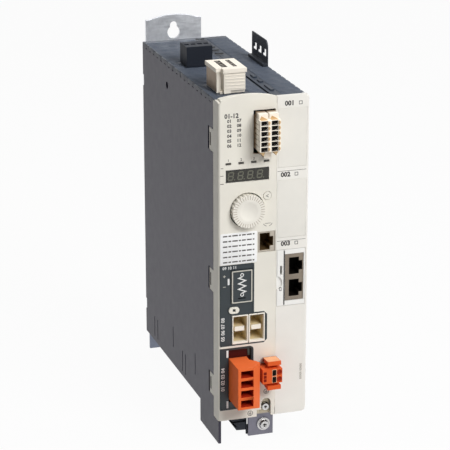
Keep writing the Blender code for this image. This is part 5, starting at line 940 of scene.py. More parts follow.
@dataclass
class Housing(Assembly):
    """The dark housings of both columns, with what stands on them."""

    seam_slots: Row = (-10.4 * MM, -18.6 * MM, -28.5 * MM, -38.8 * MM, -48.9 * MM, -59.7 * MM)
    seam_slot_runs: Spots = ((6.8 * MM, 9.25 * MM), (9.75 * MM, 13.7 * MM))
    seam_slot_width: float = 2.2 * MM
    seam_slot_corner: float = 0.4 * MM
    rib_first: float = -186.45 * MM
    rib_pitch: float = 3.4 * MM
    rib_count: int = 53
    rib_size: Flat = (1.5 * MM, 2.0 * MM)
    rib_proud: float = 0.4 * MM
    main_run: Flat = (-33.0 * MM, 6.4 * MM)
    slot_run: Flat = (16.4 * MM, 33.4 * MM)
    plug_gaps: tuple[tuple[str, float], ...] = (("supply_plug", 1.4 * MM), ("mains_plug", 1.6 * MM))
    rail: Flat = (-33.97 * MM, -32.9 * MM)
    rail_ends: Flat = (-189.5 * MM, -3.0 * MM)
    rail_drop: float = 2.6 * MM
    rail_proud: float = 0.45 * MM
    teeth: int = 11
    tooth_gap: float = 0.4 * MM
    notch_levels: Flat = (24.0 * MM, 211.0 * MM)
    notch_half: float = 5.2 * MM
    notch_depth: Flat = (-6.4 * MM, -2.4 * MM)
    notch_shade_across: Flat = (32.4 * MM, 33.3 * MM)
    comb_windows: Row = (-99.9 * MM, -89.0 * MM, -78.1 * MM)
    comb_window: Flat = (8.7 * MM, 6.2 * MM)
    comb_sill: float = 247.3 * MM
    comb_faces: Flat = (0.95 * MM, 0.05 * MM)
    tine_start: float = 1.0 * MM
    tine_share: float = 0.42
    sill_height: float = 0.6 * MM
    foot_back: float = 0.1 * MM
    foot_depth: float = 20.0 * MM
    foot_soft: float = 0.2 * MM
    earth_shade_low: Point = (-1.1 * MM, 0.1 * MM, 0.8 * MM)
    earth_shade_high: Point = (1.2 * MM, 1.4 * MM, 8.4 * MM)
    rest_foot: Spots = (
        (-17.8 * MM, -12.0 * MM), (-16.0 * MM, -14.9 * MM), (-8.0 * MM, -15.4 * MM),
        (-8.0 * MM, -4.0 * MM), (-9.0 * MM, -4.0 * MM), (-9.0 * MM, -12.0 * MM),
    )

    coats: dict[str, Coat] = field(default_factory=lambda: {
        "main_housing": Coat(SLATE, 0.1 * MM),
        "slot_carrier": Coat(SLATE, 0.1 * MM, Shading.EVEN),
        "cable_comb": Coat(BLACK, 0.1 * MM),
        "cable_rest": Coat(BLACK, 0.12 * MM),
        "card_rack": Coat(BLACK, 0.1 * MM),
        "slot_backplane": Coat(MASK, 0.1 * MM, Shading.EVEN),
    })

    def build(self) -> None:
        """Build the roof's ribs, the dark prints on its seam that are painted shade for slots, and what is
        trimmed on the flanks, the comb and the rest.
        """
        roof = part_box("slot_carrier")[1].z
        # Flat dark prints on the carrier's roof: painted shade where the seam has slots.
        slots = Piece("roof_seam_slots", "drive", PITCH, "black_moulding")
        for along in self.seam_slots:
            for start, end in self.seam_slot_runs:
                span = around(((start + end) / 2, along), end - start, self.seam_slot_width)
                slots.printed(rounded(span, self.seam_slot_corner), roof, Facing.ROOF)
        self.keep(slots)
        self.build_ribs()
        self.build_edges()
        self.build_comb()
        self.build_foot()

    def rib_runs(self, along: float) -> list[Flat]:
        """Where the ribs of the connector column's roof run, clear of the two plugs.

        Args:
            along: The rib's place from front to rear.

        Returns:
            The ends of each run across the roof.
        """
        left, right = self.main_run
        for plug, gap in self.plug_gaps:
            low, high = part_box(plug)
            if low.y - gap < along < high.y + gap:
                return [(left, low.x - gap), (high.x + gap, right)]
        return [self.main_run]

    def build_ribs(self) -> None:
        """Build the fine ribs that run across both roofs and bridge the louvres, lighter than the housing as
        painted highlight.
        """
        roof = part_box("main_housing")[1].z
        comb_low, comb_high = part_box("cable_comb")
        width, height = self.rib_size
        ribs = Piece("roof_ribs", "drive", ROOF_SLATE, "dark_grey_moulding")
        for rib in range(self.rib_count):
            along = self.rib_first + self.rib_pitch * rib
            left, right = self.slot_run
            if comb_low.y - width < along < comb_high.y + width:
                right = comb_low.x - width / 2
            for start, end in (*self.rib_runs(along), (left, right)):
                low = (start, along - width / 2, roof + self.rib_proud - height)
                ribs.block(low, (end, along + width / 2, roof + self.rib_proud))
        self.keep(ribs)

    def build_edges(self) -> None:
        """Build the rail on the left flank's upper edge and the black blocks that fill the rear notches as
        painted shade.
        """
        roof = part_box("main_housing")[1].z
        rail = Piece("flank_edge_rail", "drive", BLACK, "black_moulding")
        length = (self.rail_ends[1] - self.rail_ends[0]) / self.teeth
        for tooth in range(self.teeth):
            start = self.rail_ends[0] + length * tooth
            low = (self.rail[0], start, roof - self.rail_drop)
            rail.block(low, (self.rail[1], start + length - self.tooth_gap, roof + self.rail_proud))
        # Black blocks in the rear notches: painted shade.
        notch_shades = Piece("rear_notch_backs", "drive", PITCH, "black_moulding")
        front, rear = self.notch_depth
        for side in (-1, 1):
            left, right = sorted(side * across for across in self.notch_shade_across)
            for level in self.notch_levels:
                low = (left, front, level - self.notch_half)
                notch_shades.block(low, (right, rear, level + self.notch_half))
        self.keep(rail, notch_shades)

    def build_comb(self) -> None:
        """Build the tines that make hooks of the comb's windows."""
        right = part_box("cable_comb")[1].x
        half, height = self.comb_window[0] / 2, self.comb_window[1]
        faces = right - self.comb_faces[0], right - self.comb_faces[1]
        tines = Piece("comb_tines", "drive", BLACK, "black_moulding")
        for middle in self.comb_windows:
            tines.block(
                (faces[0], middle + self.tine_start, self.comb_sill + height * self.tine_share),
                (faces[1], middle + half + SUNK, self.comb_sill + height + SUNK),
            )
            tines.block(
                (faces[0], middle - half - SUNK, self.comb_sill - SUNK),
                (faces[1], middle + half + SUNK, self.comb_sill + self.sill_height),
            )
        self.keep(tines)

    def build_foot(self) -> None:
        """Build the foot under the cable rest, with a black block behind the earth plate's left edge that is
        painted shade beside the plate.
        """
        foot = Piece("cable_rest_foot", "drive", BLACK, "black_moulding")
        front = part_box("cable_rest")[0].y
        levels = front + self.foot_back, front + self.foot_depth
        foot.prism(self.rest_foot, *levels, soft=self.foot_soft)
        # The block behind the earth plate shows as a dark strip at its left edge: painted shade.
        plate_low, plate_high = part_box("earth_plate")
        corner = plate_low.x, plate_high.y, plate_low.z
        foot.block(*(
            [start + step for start, step in zip(corner, steps)] for steps in (self.earth_shade_low, self.earth_shade_high)
        ))
        self.keep(foot)


@dataclass
class Front(Assembly):
    """The pale fronts of both columns, with their prints and the plain label."""

    label: Span = (-32.6 * MM, -4.9 * MM, 121.3 * MM, 145.0 * MM)
    label_thickness: float = 0.12 * MM
    label_corner: float = 0.8 * MM
    label_soft: float = 0.03 * MM
    label_margin: float = 2.0 * MM
    rule_height: float = 1.0 * MM
    rule_count: int = 6
    rule_gap: float = 0.75 * MM
    rule_corner: float = 0.2 * MM
    rule_lengths: Row = (3.4 * MM, 2.1 * MM, 4.2 * MM, 1.6 * MM, 2.9 * MM, 3.7 * MM, 1.9 * MM)
    rows: int = 6
    row_pitch: float = 3.6 * MM
    first_row: float = 227.6 * MM
    columns: Flat = (-25.8 * MM, -18.6 * MM)
    row_figure: float = 2.3 * MM
    row_weight: float = 0.05
    heading: Flat = (-24.2 * MM, 231.2 * MM)
    heading_figure: float = 3.2 * MM
    slot_figures: tuple[tuple[str, float, float], ...] = (
        ("001", 18.9 * MM, 237.0 * MM), ("002", 16.3 * MM, 184.8 * MM), ("003", 16.8 * MM, 132.9 * MM),
    )
    slot_figure: float = 3.4 * MM
    slot_weight: float = 0.06
    box_offset: float = 8.2 * MM
    box_size: float = 2.6 * MM
    box_line: float = 0.4 * MM
    slot_lines: Row = (187.6 * MM, 135.2 * MM)
    slot_line: Flat = (10.2 * MM, 32.0 * MM)
    line: float = 0.3 * MM
    earth_marks: Spots = ((2.9 * MM, 19.4 * MM), (-9.5 * MM, 3.4 * MM))
    earth_radius: float = 2.1 * MM
    earth_line: float = 0.18          # this and the next four are shares of the radius
    earth_ring: float = 0.8
    earth_stem: Flat = (0.36, 0.7)
    earth_bars: Row = (1.1, 0.72, 0.34)
    earth_pitch: float = 0.3
    turn_mark: Flat = (3.2 * MM, 151.2 * MM)
    turn_arcs: Spots = ((205.0, 255.0), (285.0, 335.0))
    turn_radius: float = 3.6 * MM
    turn_line: float = 0.55 * MM
    turn_bar: Flat = (4.4 * MM, 0.5 * MM)
    turn_bar_drop: float = 1.4 * MM
    lip: float = 0.24 * MM
    lip_sink: float = 0.2 * MM
    lip_depth: float = 1.0 * MM
    seam_ends: Flat = (6.0 * MM, 238.0 * MM)
    seam_runs: int = 4
    seam_lap: float = 0.02 * MM
    seam_depth: float = 1.2 * MM
    seam_gap: float = 0.25 * MM
    seam_soft: float = 0.05 * MM
    column_figures: Flat = (29.6 * MM, 32.0 * MM)
    column_figure: float = 1.7 * MM
    shoulder: Span = (-33.99 * MM, -31.6 * MM, -194.0 * MM, -186.6 * MM)
    shoulder_levels: Flat = (240.6 * MM, 241.9 * MM)
    shoulder_soft: float = 0.3 * MM
    crown: Spots = (
        (-32.0 * MM, 243.0 * MM), (-30.0 * MM, 243.6 * MM), (-28.0 * MM, 244.13 * MM),
        (-25.0 * MM, 244.8 * MM), (-22.5 * MM, 245.25 * MM), (-20.0 * MM, 245.6 * MM),
        (-17.5 * MM, 245.88 * MM), (-15.0 * MM, 246.07 * MM),
    )
    crown_front: float = -193.4 * MM
    crown_rear: Flat = (-187.8 * MM, -192.4 * MM)
    clip_levels: Row = (24.0 * MM, 105.5 * MM, 211.0 * MM)
    clip_slot_middle: float = -176.8 * MM
    clip_slot: Flat = (2.3 * MM, 9.8 * MM)
    clip_slot_corner: float = 0.6 * MM

    coats: dict[str, Coat] = field(default_factory=lambda: {
        "front_cover": Coat(PALE, 0.1 * MM, Shading.EVEN),
        "carrier_bezel": Coat(BEZEL, 0.05 * MM, Shading.EVEN),
        "slot_cover_1": Coat(COVER, 0.1 * MM),
        "slot_cover_2": Coat(COVER, 0.1 * MM),
    })

    def build(self) -> None:
        """Build the label, the prints, the ledge, the painted shade in the clips' slots, the lips and the
        seam.
        """
        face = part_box("carrier_bezel")[0].y
        self.build_label(face)
        self.build_earth_marks(face)
        self.build_ledge()
        self.build_clip_slots()
        self.build_rows(face)
        self.build_slot_prints(face)
        for slot in (1, 2):
            self.build_lip(slot, face)
        self.build_seam(face)
        column = Piece("column_figures", "drive", FAINT_INK)
        column.figures("00000 00000", self.column_figures, self.column_figure, face, turn=90.0)
        self.keep(column)
        self.build_turn_mark(face)

    def build_rows(self, face: float) -> None:
        """Build the numbers of the signal plug's rows, with their heading.

        Args:
            face: Level of the front face.
        """
        rows = Piece("signal_row_figures", "drive", DARK_INK)
        rows.figures("01-12", self.heading, self.heading_figure, face, weight=self.row_weight)
        for row in range(self.rows):
            level = self.first_row - self.row_pitch * row
            for column, across in enumerate(self.columns):
                text = f"{row + 1 + self.rows * column:02d}"
                rows.figures(text, (across, level), self.row_figure, face, weight=self.row_weight)
        self.keep(rows)

    def build_slot_prints(self, face: float) -> None:
        """Build the slots' numbers with a small box beside each, and the dark lines between the slots, partly
        print and partly painted shade of the gaps there.

        Args:
            face: Level of the front face.
        """
        slots = Piece("slot_figures", "drive", DARK_INK)
        for text, across, level in self.slot_figures:
            slots.figures(text, (across, level), self.slot_figure, face, weight=self.slot_weight)
            box = around((across + self.box_offset, level), self.box_size, self.box_size)
            outlines = rectangle(box), rectangle(inset(box, self.box_line))
            slots.frame(*outlines, face - PRINT, face + SUNK)
        # These lines are partly print, partly painted shade in the gaps between the slot covers.
        lines = Piece("slot_lines", "drive", INK)
        for level in self.slot_lines:
            lines.printed(rectangle((*self.slot_line, level - self.line / 2, level + self.line / 2)), face)
        self.keep(slots, lines)

    def build_seam(self, face: float) -> None:
        """Build the soft filler of the seam between the two columns.

        Args:
            face: Level of the front face.
        """
        left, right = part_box("front_cover")[1].x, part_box("carrier_bezel")[0].x
        seam = Piece("column_seam", "drive", PALE, "pale_moulding")
        length = (self.seam_ends[1] - self.seam_ends[0]) / self.seam_runs
        near = face + self.lip_sink
        for run in range(self.seam_runs):
            start = self.seam_ends[0] + length * run
            end = start + length - self.seam_gap
            low = (left - self.seam_lap, near, start)
            seam.block(low, (right + self.seam_lap, near + self.seam_depth, end), soft=self.seam_soft)
        self.keep(seam)

    def build_turn_mark(self, face: float) -> None:
        """Build the mark beside the knob: two arcs over a bar.

        Args:
            face: Level of the front face.
        """
        mark = Piece("knob_turn_mark", "drive", FAINT_INK)
        for start, end in self.turn_arcs:
            path = arc(self.turn_mark, self.turn_radius, start, end, steps=8)
            mark.printed(stroke(path, self.turn_line), face)
        across, along = self.turn_mark
        mark.printed(rectangle(around((across, along - self.turn_bar_drop), *self.turn_bar)), face)
        self.keep(mark)

    def build_ledge(self) -> None:
        """Build the ledge behind the cover's crown, which runs out to the right, and its left shoulder."""
        ledge = Piece("cover_ledge", "drive", PALE, "pale_moulding")
        left, right, front, rear = self.shoulder
        base, top = self.shoulder_levels
        ledge.block((left, front, base), (right, rear, top), soft=self.shoulder_soft)
        start, end = self.crown[0][0], self.crown[-1][0]
        near, far = self.crown_rear
        loops = []
        for across, level in self.crown:
            behind = near + (far - near) * (across - start) / (end - start)
            corners = (self.crown_front, base), (behind, base), (behind, level), (self.crown_front, level)
            loops.append([Vector((across, *corner)) for corner in corners])
        ledge.loft(loops)
        self.keep(ledge)

    def build_clip_slots(self) -> None:
        """Build the dark prints on the clips that hold both fronts to the flanks: painted shade for the
        clips' slots.
        """
        slots = Piece("clip_slots", "drive", CLIP_SHADE, "black_moulding")
        sides = (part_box("front_cover")[0].x, -1), (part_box("carrier_bezel")[1].x, 1)
        for flank, out in sides:
            for level in self.clip_levels:
                span = around((self.clip_slot_middle, level), *self.clip_slot)
                outline = rounded(span, self.clip_slot_corner)
                slots.prism(outline, flank + out * FILM, flank - out * SUNK, Facing.FLANK)
        self.keep(slots)

    def build_lip(self, slot: int, face: float) -> None:
        """Build the soft lip that closes the gap round a slot cover.

        Args:
            slot: Number of the slot.
            face: Level of the front face.
        """
        low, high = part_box(f"slot_cover_{slot}")
        edge = (low.x, high.x, low.z, high.z)
        outlines = rectangle(inset(edge, -self.lip)), rectangle(inset(edge, LAP))
        near = face + self.lip_sink
        lip = Piece(f"slot_lip_{slot}", f"slot_cover_{slot}", BEZEL, "pale_moulding")
        lip.frame(*outlines, near, near + self.lip_depth)
        self.keep(lip)

    def build_label(self, face: float) -> None:
        """Build the plain label with its ruled lines.

        Args:
            face: Level of the front face.
        """
        shown = face - self.label_thickness
        sheet = Piece("plain_label", "drive", LABEL_STOCK)
        outline = rounded(self.label, self.label_corner)
        sheet.prism(outline, shown, face + SUNK, soft=self.label_soft)
        rules = Piece("label_rules", "drive", INK)
        left, right, low, high = inset(self.label, self.label_margin)
        pitch = (high - low) / (self.rule_count - 1)
        dash = 0
        for rule in range(self.rule_count):
            level = high - pitch * rule
            start = left
            while start + self.rule_gap < right:
                end = min(right, start + self.rule_lengths[dash % len(self.rule_lengths)])
                span = (start, end, level - self.rule_height / 2, level + self.rule_height / 2)
                rules.printed(rounded(span, self.rule_corner, steps=2), shown)
                start = end + self.rule_gap
                dash += 1
        self.keep(sheet, rules)

    def build_earth_marks(self, face: float) -> None:
        """Build the plain earth signs beside the earth screw.

        Args:
            face: Level of the front face.
        """
        marks = Piece("earth_marks", "drive", INK)
        size, thin = self.earth_radius, self.earth_radius * self.earth_line
        rise, length = self.earth_stem
        for across, along in self.earth_marks:
            rings = [ring((across, along), radius) for radius in (size, size * self.earth_ring)]
            marks.frame(*rings, face - PRINT, face + SUNK)
            marks.printed(rectangle(around((across, along + size * rise), thin, size * length)), face)
            for step, share in enumerate(self.earth_bars):
                level = along - size * self.earth_pitch * step
                marks.printed(rectangle(around((across, level), size * share, thin)), face)
        self.keep(marks)


@dataclass
class OperatorField(Assembly):
    """Display, lights, knob and key."""

    digit_count: int = 4
    digit_pitch: float = 7.2 * MM
    digit_width: float = 3.5 * MM
    digit_height: float = 5.4 * MM
    digit_start: float = 3.6 * MM
    bar: float = 0.8 * MM
    bar_gap: float = 0.08 * MM
    slant: float = 0.14
    point_gap: float = 1.0 * MM
    point_radius: float = 0.45 * MM
    lights: int = 4
    light_figure: float = 1.8 * MM
    light_rise: float = 1.5 * MM
    light_width: float = 3.6 * MM
    grip_lines: int = 36
    grip_span: Flat = (9.0 * MM, 12.0 * MM)
    grip_width: float = 0.36 * MM
    ticks: Spots = ((193.7 * MM, 1.8 * MM), (188.1 * MM, 2.2 * MM), (182.2 * MM, 2.6 * MM))
    tick_middle: float = -31.2 * MM
    tick_line: float = 0.45 * MM
    arrow: Flat = (1.0 * MM, 0.7 * MM)
    arrow_line: float = 0.45 * MM

    coats: dict[str, Coat] = field(default_factory=lambda: {
        "display_window": Coat(SMOKED, 0.1 * MM),
        "display_block": Coat(BLACK, 0.1 * MM),
        "light_guide": Coat(PIPE, 0.1 * MM),
        "knob": Coat(KNOB_PLASTIC, 0.2 * MM, Shading.EVEN),
        "knob_shaft": Coat(ZINC, 0.1 * MM),
        "knob_plunger": Coat(GREY_PLASTIC, 0.1 * MM),
        "encoder": Coat(GREY_PLASTIC, 0.2 * MM),
        "escape_key": Coat(PALE, 0.3 * MM),
        "key_switch": Coat(BLACK, 0.1 * MM),
        "control_board": Coat(MASK, 0.1 * MM),
    })

    def bars(self) -> list[list[Flat]]:
        """Outlines of the seven bars of one digit about its middle.

        Returns:
            One outline for each bar.
        """
        half_width, half_height = self.digit_width / 2, self.digit_height / 2
        tip, gap = self.bar / 2, self.bar_gap
        end, shoulder = half_width - gap, half_width - gap - tip
        flat = [(-end, 0), (-shoulder, tip), (shoulder, tip), (end, 0), (shoulder, -tip), (-shoulder, -tip)]
        upright = [
            (0, gap), (tip, tip), (tip, half_height - tip), (0, half_height - gap),
            (-tip, half_height - tip), (-tip, tip),
        ]
        made = [[(x, z + level) for x, z in flat] for level in (-half_height, 0, half_height)]
        for across in (-half_width, half_width):
            made.append([(x + across, z) for x, z in upright])
            made.append([(x + across, z - half_height) for x, z in upright])
        return [[(x + z * self.slant, z) for x, z in outline] for outline in made]

    def build(self) -> None:
        """Build the digits, the lights' figures, the painted shade of the knob's grip grooves and the key's
        mark.
        """
        self.build_digits()
        self.build_light_figures()
        self.build_grip()
        self.build_key_mark()

    def build_digits(self) -> None:
        """Build the unlit bars and points of the display's digits."""
        low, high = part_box("display_window")
        middle = (low.z + high.z) / 2
        digits = Piece("display_digits", "drive", SEGMENT)
        for digit in range(self.digit_count):
            across = low.x + self.digit_start + self.digit_pitch * digit
            for outline in self.bars():
                digits.printed([(across + x, middle + z) for x, z in outline], low.y)
            point = (across + self.digit_width / 2 + self.point_gap, middle - self.digit_height / 2)
            digits.printed(ring(point, self.point_radius, steps=12), low.y)
        self.keep(digits)

    def build_light_figures(self) -> None:
        """Build the numbers of the lights and the ticks beside the display."""
        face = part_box("carrier_bezel")[0].y
        low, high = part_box("light_guide")
        pitch = (high.x - low.x - self.light_width) / (self.lights - 1)
        figures = Piece("light_figures", "drive", INK)
        for light in range(self.lights):
            across = low.x + self.light_width / 2 + pitch * light
            figures.figures(str(light + 1), (across, high.z + self.light_rise), self.light_figure, face)
        for level, length in self.ticks:
            figures.printed(rectangle(around((self.tick_middle, level), length, self.tick_line)), face)
        self.keep(figures)

    def build_key_mark(self) -> None:
        """Build the arrow mark on the key."""
        low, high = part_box("escape_key")
        across, along = (low.x + high.x) / 2, (low.z + high.z) / 2
        reach, barb = self.arrow
        path = [(across + barb, along + reach), (across - reach, along), (across + barb, along - reach)]
        mark = Piece("key_mark", "escape_key", INK)
        mark.printed(stroke(path, self.arrow_line), low.y)
        self.keep(mark)

    def build_grip(self) -> None:
        """Build the fine darker radial lines on the knob's front ring: painted shade standing in for grip
        grooves.
        """
        low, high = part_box("knob")
        centre = Vector(((low.x + high.x) / 2, (low.z + high.z) / 2))
        lines = Piece("knob_grip_lines", "knob", KNOB_GROOVE_SHADE)
        near, far = self.grip_span
        for line in range(self.grip_lines):
            turn = math.tau * (line + 0.5) / self.grip_lines
            ray = Vector((math.cos(turn), math.sin(turn)))
            path = [tuple(centre + ray * reach) for reach in (near, far)]
            lines.printed(stroke(path, self.grip_width), low.y)
        self.keep(lines)


@dataclass
class SignalPlug(Assembly):
    """The two-column signal plug with its release buttons and wire holes."""

    rows: int = 6
    pitch: float = 3.8 * MM
    base: float = 206.8 * MM
    middle: float = 0.3 * MM
    half: float = 7.7 * MM
    hole_share: float = 0.52
    hole_radius: float = 1.2 * MM
    hole_depths: Flat = (0.35 * MM, 0.9 * MM)
    button_share: float = 0.8
    button_shift: float = 0.2 * MM
    button_radius: float = 1.4 * MM
    button_proud: float = 0.7 * MM
    button_soft: float = 0.25 * MM
    slot_share: float = 0.23
    slot_size: Flat = (1.9 * MM, 3.1 * MM)
    collar: float = 3.1 * MM
    step: Flat = (0.9 * MM, 6.2 * MM)
    step_start: float = 0.7 * MM
    step_depth: float = 3.8 * MM
    step_rise: float = 2.4 * MM
    step_tip: float = 1.2 * MM
    feet: Spots = ((-6.6 * MM, -2.4 * MM), (3.0 * MM, 7.2 * MM))
    foot_drop: float = 3.4 * MM
    foot_behind: float = 1.6 * MM
    foot_gap: float = 0.3 * MM
    foot_soft: float = 0.15 * MM

    coats: dict[str, Coat] = field(default_factory=lambda: {
        "io_plug": Coat(SIGNAL_CREAM, 0.1 * MM),
        "io_header": Coat(BLACK, 0.2 * MM),
    })

    def build(self) -> None:
        """Build the release buttons, and the dark entries and tan latch steps that are painted shade."""
        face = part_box("io_plug")[0].y
        self.build_latch_shades(face)
        buttons = Piece("signal_release_buttons", "io_plug", TAN, "cream_moulding")
        # Dark prints, collars and hole bottoms: painted shade in the plug's wire entries.
        slots = Piece("signal_wire_slots", "io_plug", PITCH)
        holes = Piece("signal_hole_bottoms", "io_plug", PITCH)
        for row in range(self.rows):
            level = self.base + self.pitch * (row + 0.5)
            for left in (self.middle - self.half, self.middle):
                across = left + self.half * self.button_share - self.button_shift
                outline = arc((across, level), self.button_radius, -90, 90, steps=10)
                buttons.prism(outline, face - self.button_proud, face + SUNK, soft=self.button_soft)
                spot = (left + self.half * self.slot_share, level)
                slots.printed(rectangle(around(spot, *self.slot_size)), face)
                spot = (left + self.half * self.hole_share, level)
                holes.prism(ring(spot, self.hole_radius), *(face + depth for depth in self.hole_depths))
                collar = holed(around(spot, self.collar, self.collar), self.hole_radius)
                slots.frame(*collar, face - PRINT, face + SUNK)
        self.keep(buttons, slots, holes)

    def build_latch_shades(self, face: float) -> None:
        """Build the tan steps in front of the upper latches and the tan feet under the plug; their tan is
        painted shade.

        Args:
            face: Level of the plug's face.
        """
        top = self.base + self.pitch * self.rows
        latch = face + self.step_depth
        # The tan of these steps and feet is painted shade.
        steps = Piece("signal_latch_steps", "io_plug", TAN, "cream_moulding")
        for left in (self.middle - self.half, self.middle):
            start, end = left + self.step[0], left + self.step[1]
            steps.printed(rectangle((start, end, face + self.step_start, latch)), top, Facing.ROOF)
            steps.printed([(start, top), (end, top), (start + self.step_tip, top + self.step_rise)], latch)
        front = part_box("carrier_bezel")[0].y
        for start, end in self.feet:
            tip = (start + end) / 2
            outline = [(start, self.base + SUNK), (end, self.base + SUNK), (tip, self.base - self.foot_drop)]
            steps.prism(outline, face + self.foot_behind, front - self.foot_gap, soft=self.foot_soft)
        self.keep(steps)


@dataclass
class DataSockets(Assembly):
    """The option module in the lowest slot and the service socket: dark wells with gilt contacts."""

    body_width: float = 7.6 * MM
    latch_width: float = 2.6 * MM
    latch_height: float = 7.2 * MM
    port_height: float = 12.9 * MM
    port_depth: float = 13.0 * MM
    module_rim: float = 0.6 * MM
    module_pitch: float = 16.9 * MM
    service_rim: float = 1.2 * MM
    lining: float = 0.25 * MM
    lining_back: float = 0.35 * MM
    contacts: int = 8
    contact_pitch: float = 1.02 * MM
    contact_width: float = 0.5 * MM
    contact_thickness: float = 0.4 * MM
    contact_ends: Flat = (0.3 * MM, 2.6 * MM)
    contact_depths: Flat = (1.8 * MM, 9.0 * MM)
    seam: Flat = (15.5 * MM, 16.4 * MM)
    seam_margin: float = 0.6 * MM
    mark: Span = (12.3 * MM, 14.0 * MM, 97.0 * MM, 99.8 * MM)
    mark_line: float = 0.4 * MM
    chips: tuple[Span, ...] = (
        (-164.0 * MM, -150.0 * MM, 100.0 * MM, 114.0 * MM), (-142.0 * MM, -136.0 * MM, 94.0 * MM, 103.0 * MM),
        (-142.0 * MM, -136.0 * MM, 109.0 * MM, 118.0 * MM), (-128.0 * MM, -118.0 * MM, 97.0 * MM, 107.0 * MM),
    )
    chip_height: float = 1.5 * MM
    board_sink: float = 0.1 * MM
    leg_pitch: float = 1.6 * MM
    leg_half: float = 0.3 * MM
    leg_height: float = 0.4 * MM
    leg_ends: Flat = (-1.1 * MM, 0.1 * MM)
    leg_soft: float = 0.08 * MM
    small_parts: Spots = (
        (-171.0 * MM, 95.0 * MM), (-171.0 * MM, 99.0 * MM), (-171.0 * MM, 115.0 * MM),
        (-146.5 * MM, 96.0 * MM), (-146.5 * MM, 118.0 * MM), (-131.5 * MM, 112.0 * MM),
        (-124.0 * MM, 112.0 * MM), (-112.0 * MM, 99.0 * MM), (-112.0 * MM, 104.0 * MM),
        (-112.0 * MM, 109.0 * MM), (-112.0 * MM, 114.0 * MM),
    )
    small_half: Flat = (1.0 * MM, 0.65 * MM)
    small_height: float = 0.8 * MM
    edge_contacts: int = 20
    edge_pitch: float = 1.6 * MM
    edge_half: float = 0.5 * MM
    edge_ends: Flat = (5.0 * MM, 0.6 * MM)
    edge_soft: float = 0.02 * MM

    coats: dict[str, Coat] = field(default_factory=lambda: {
        "module_face": Coat(MODULE_WHITE, 0.08 * MM),
        "module_jacks": Coat(SHIELD, 0.15 * MM),
        "module_board": Coat(MASK, 0.1 * MM),
        "service_jack": Coat(SERVICE_SHIELD, 0.15 * MM),
    })

    def well(self, left: float, middle: float, grow: float) -> list[Flat]:
        """Outline of a socket's well: the plug's body to the left, its latch to the right.

        Args:
            left: The contact side.
            middle: Level of the well's middle.
            grow: How far the outline is grown on all sides.

        Returns:
            The outline.
        """
        step = left + self.body_width + grow
        right = left + self.body_width + self.latch_width + grow
        half, latch = self.port_height / 2 + grow, self.latch_height / 2 + grow
        return [
            (left - grow, middle - half), (step, middle - half), (step, middle - latch),
            (right, middle - latch), (right, middle + latch), (step, middle + latch),
            (step, middle + half), (left - grow, middle + half),
        ]

    def line_well(
        self, name: str, body: str, front: float, left: float, middle: float, finish: Finish
    ) -> None:
        """Build the dark lining and the contacts of one socket.

        Args:
            name: First part of the pieces' names.
            body: The body that they ride on.
            front: Level of the socket's front.
            left: The contact side.
            middle: Level of the well's middle.
            finish: The lining's finish.
        """
        lining = Piece(name + "_lining", body, finish, "black_moulding")
        walls = self.well(left, middle, LAP), self.well(left, middle, -self.lining)
        lining.liner(*walls, front + self.lining_back, front + self.port_depth)
        contacts = Piece(name + "_contacts", body, GOLD)
        root, tip = (left + end for end in self.contact_ends)
        near, deep = (front + depth for depth in self.contact_depths)
        thick, half = self.contact_thickness, self.contact_width / 2
        strip = [(root, near), (root + thick, near), (tip + thick, deep), (tip, deep)]
        for contact in range(self.contacts):
            level = middle + self.contact_pitch * (contact - (self.contacts - 1) / 2)
            contacts.prism(strip, level + half, level - half, Facing.ROOF)
        self.keep(lining, contacts)

    def build(self) -> None:
        """Build the linings, the contacts, the module's marks and the parts on its board."""
        low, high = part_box("module_jacks")
        left = high.x - self.module_rim - self.latch_width - self.body_width
        middle = (low.z + high.z) / 2
        for which, side in (("lower", -0.5), ("upper", 0.5)):
            level = middle + side * self.module_pitch
            self.line_well(f"module_port_{which}", "option_module", low.y, left, level, PITCH)
        jack_low, jack_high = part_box("service_jack")
        middle = (jack_low.z + jack_high.z) / 2
        left = jack_low.x + self.service_rim
        self.line_well("service_port", "drive", jack_low.y, left, middle, PORT_BROWN)
        face_low, face_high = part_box("module_face")
        marks = Piece("module_marks", "option_module", DARK_INK)
        ends = face_low.z + self.seam_margin, face_high.z - self.seam_margin
        marks.printed(rectangle((*self.seam, *ends)), face_low.y)
        outlines = rectangle(self.mark), rectangle(inset(self.mark, self.mark_line))
        marks.frame(*outlines, face_low.y - PRINT, face_low.y + SUNK)
        self.keep(marks)
        self.build_board_parts()

    def build_board_parts(self) -> None:
        """Build the chips, their legs, the small parts and the edge contacts of the module's board."""
        low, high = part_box("module_board")
        foot = high.x - self.board_sink
        chips = Piece("module_chips", "option_module", BLACK, "black_moulding")
        legs = Piece("module_chip_legs", "option_module", SCREW_STEEL)
        out, back = self.leg_ends
        for front, rear, base, top in self.chips:
            chips.block((foot, front, base), (high.x + self.chip_height, rear, top))
            for leg in range(int((top - base) / self.leg_pitch)):
                level = base + self.leg_pitch * (leg + 0.5)
                for start, end in ((front + out, front + back), (rear - back, rear - out)):
                    corner = (high.x + self.leg_height, end, level + self.leg_half)
                    legs.block((foot, start, level - self.leg_half), corner, soft=self.leg_soft)
        parts = Piece("module_small_parts", "option_module", TAN)
        length, width = self.small_half
        for along, level in self.small_parts:
            corner = (high.x + self.small_height, along + length, level + width)
            parts.block((foot, along - length, level - width), corner)
        fingers = Piece("module_edge_contacts", "option_module", GOLD)
        middle = (low.z + high.z) / 2
        start, end = (high.y - reach for reach in self.edge_ends)
        for finger in range(self.edge_contacts):
            level = middle + self.edge_pitch * (finger - (self.edge_contacts - 1) / 2)
            corner = (high.x + PRINT, end, level + self.edge_half)
            fingers.block((low.x - PRINT, start, level - self.edge_half), corner, soft=self.edge_soft)
        self.keep(chips, legs, parts, fingers)


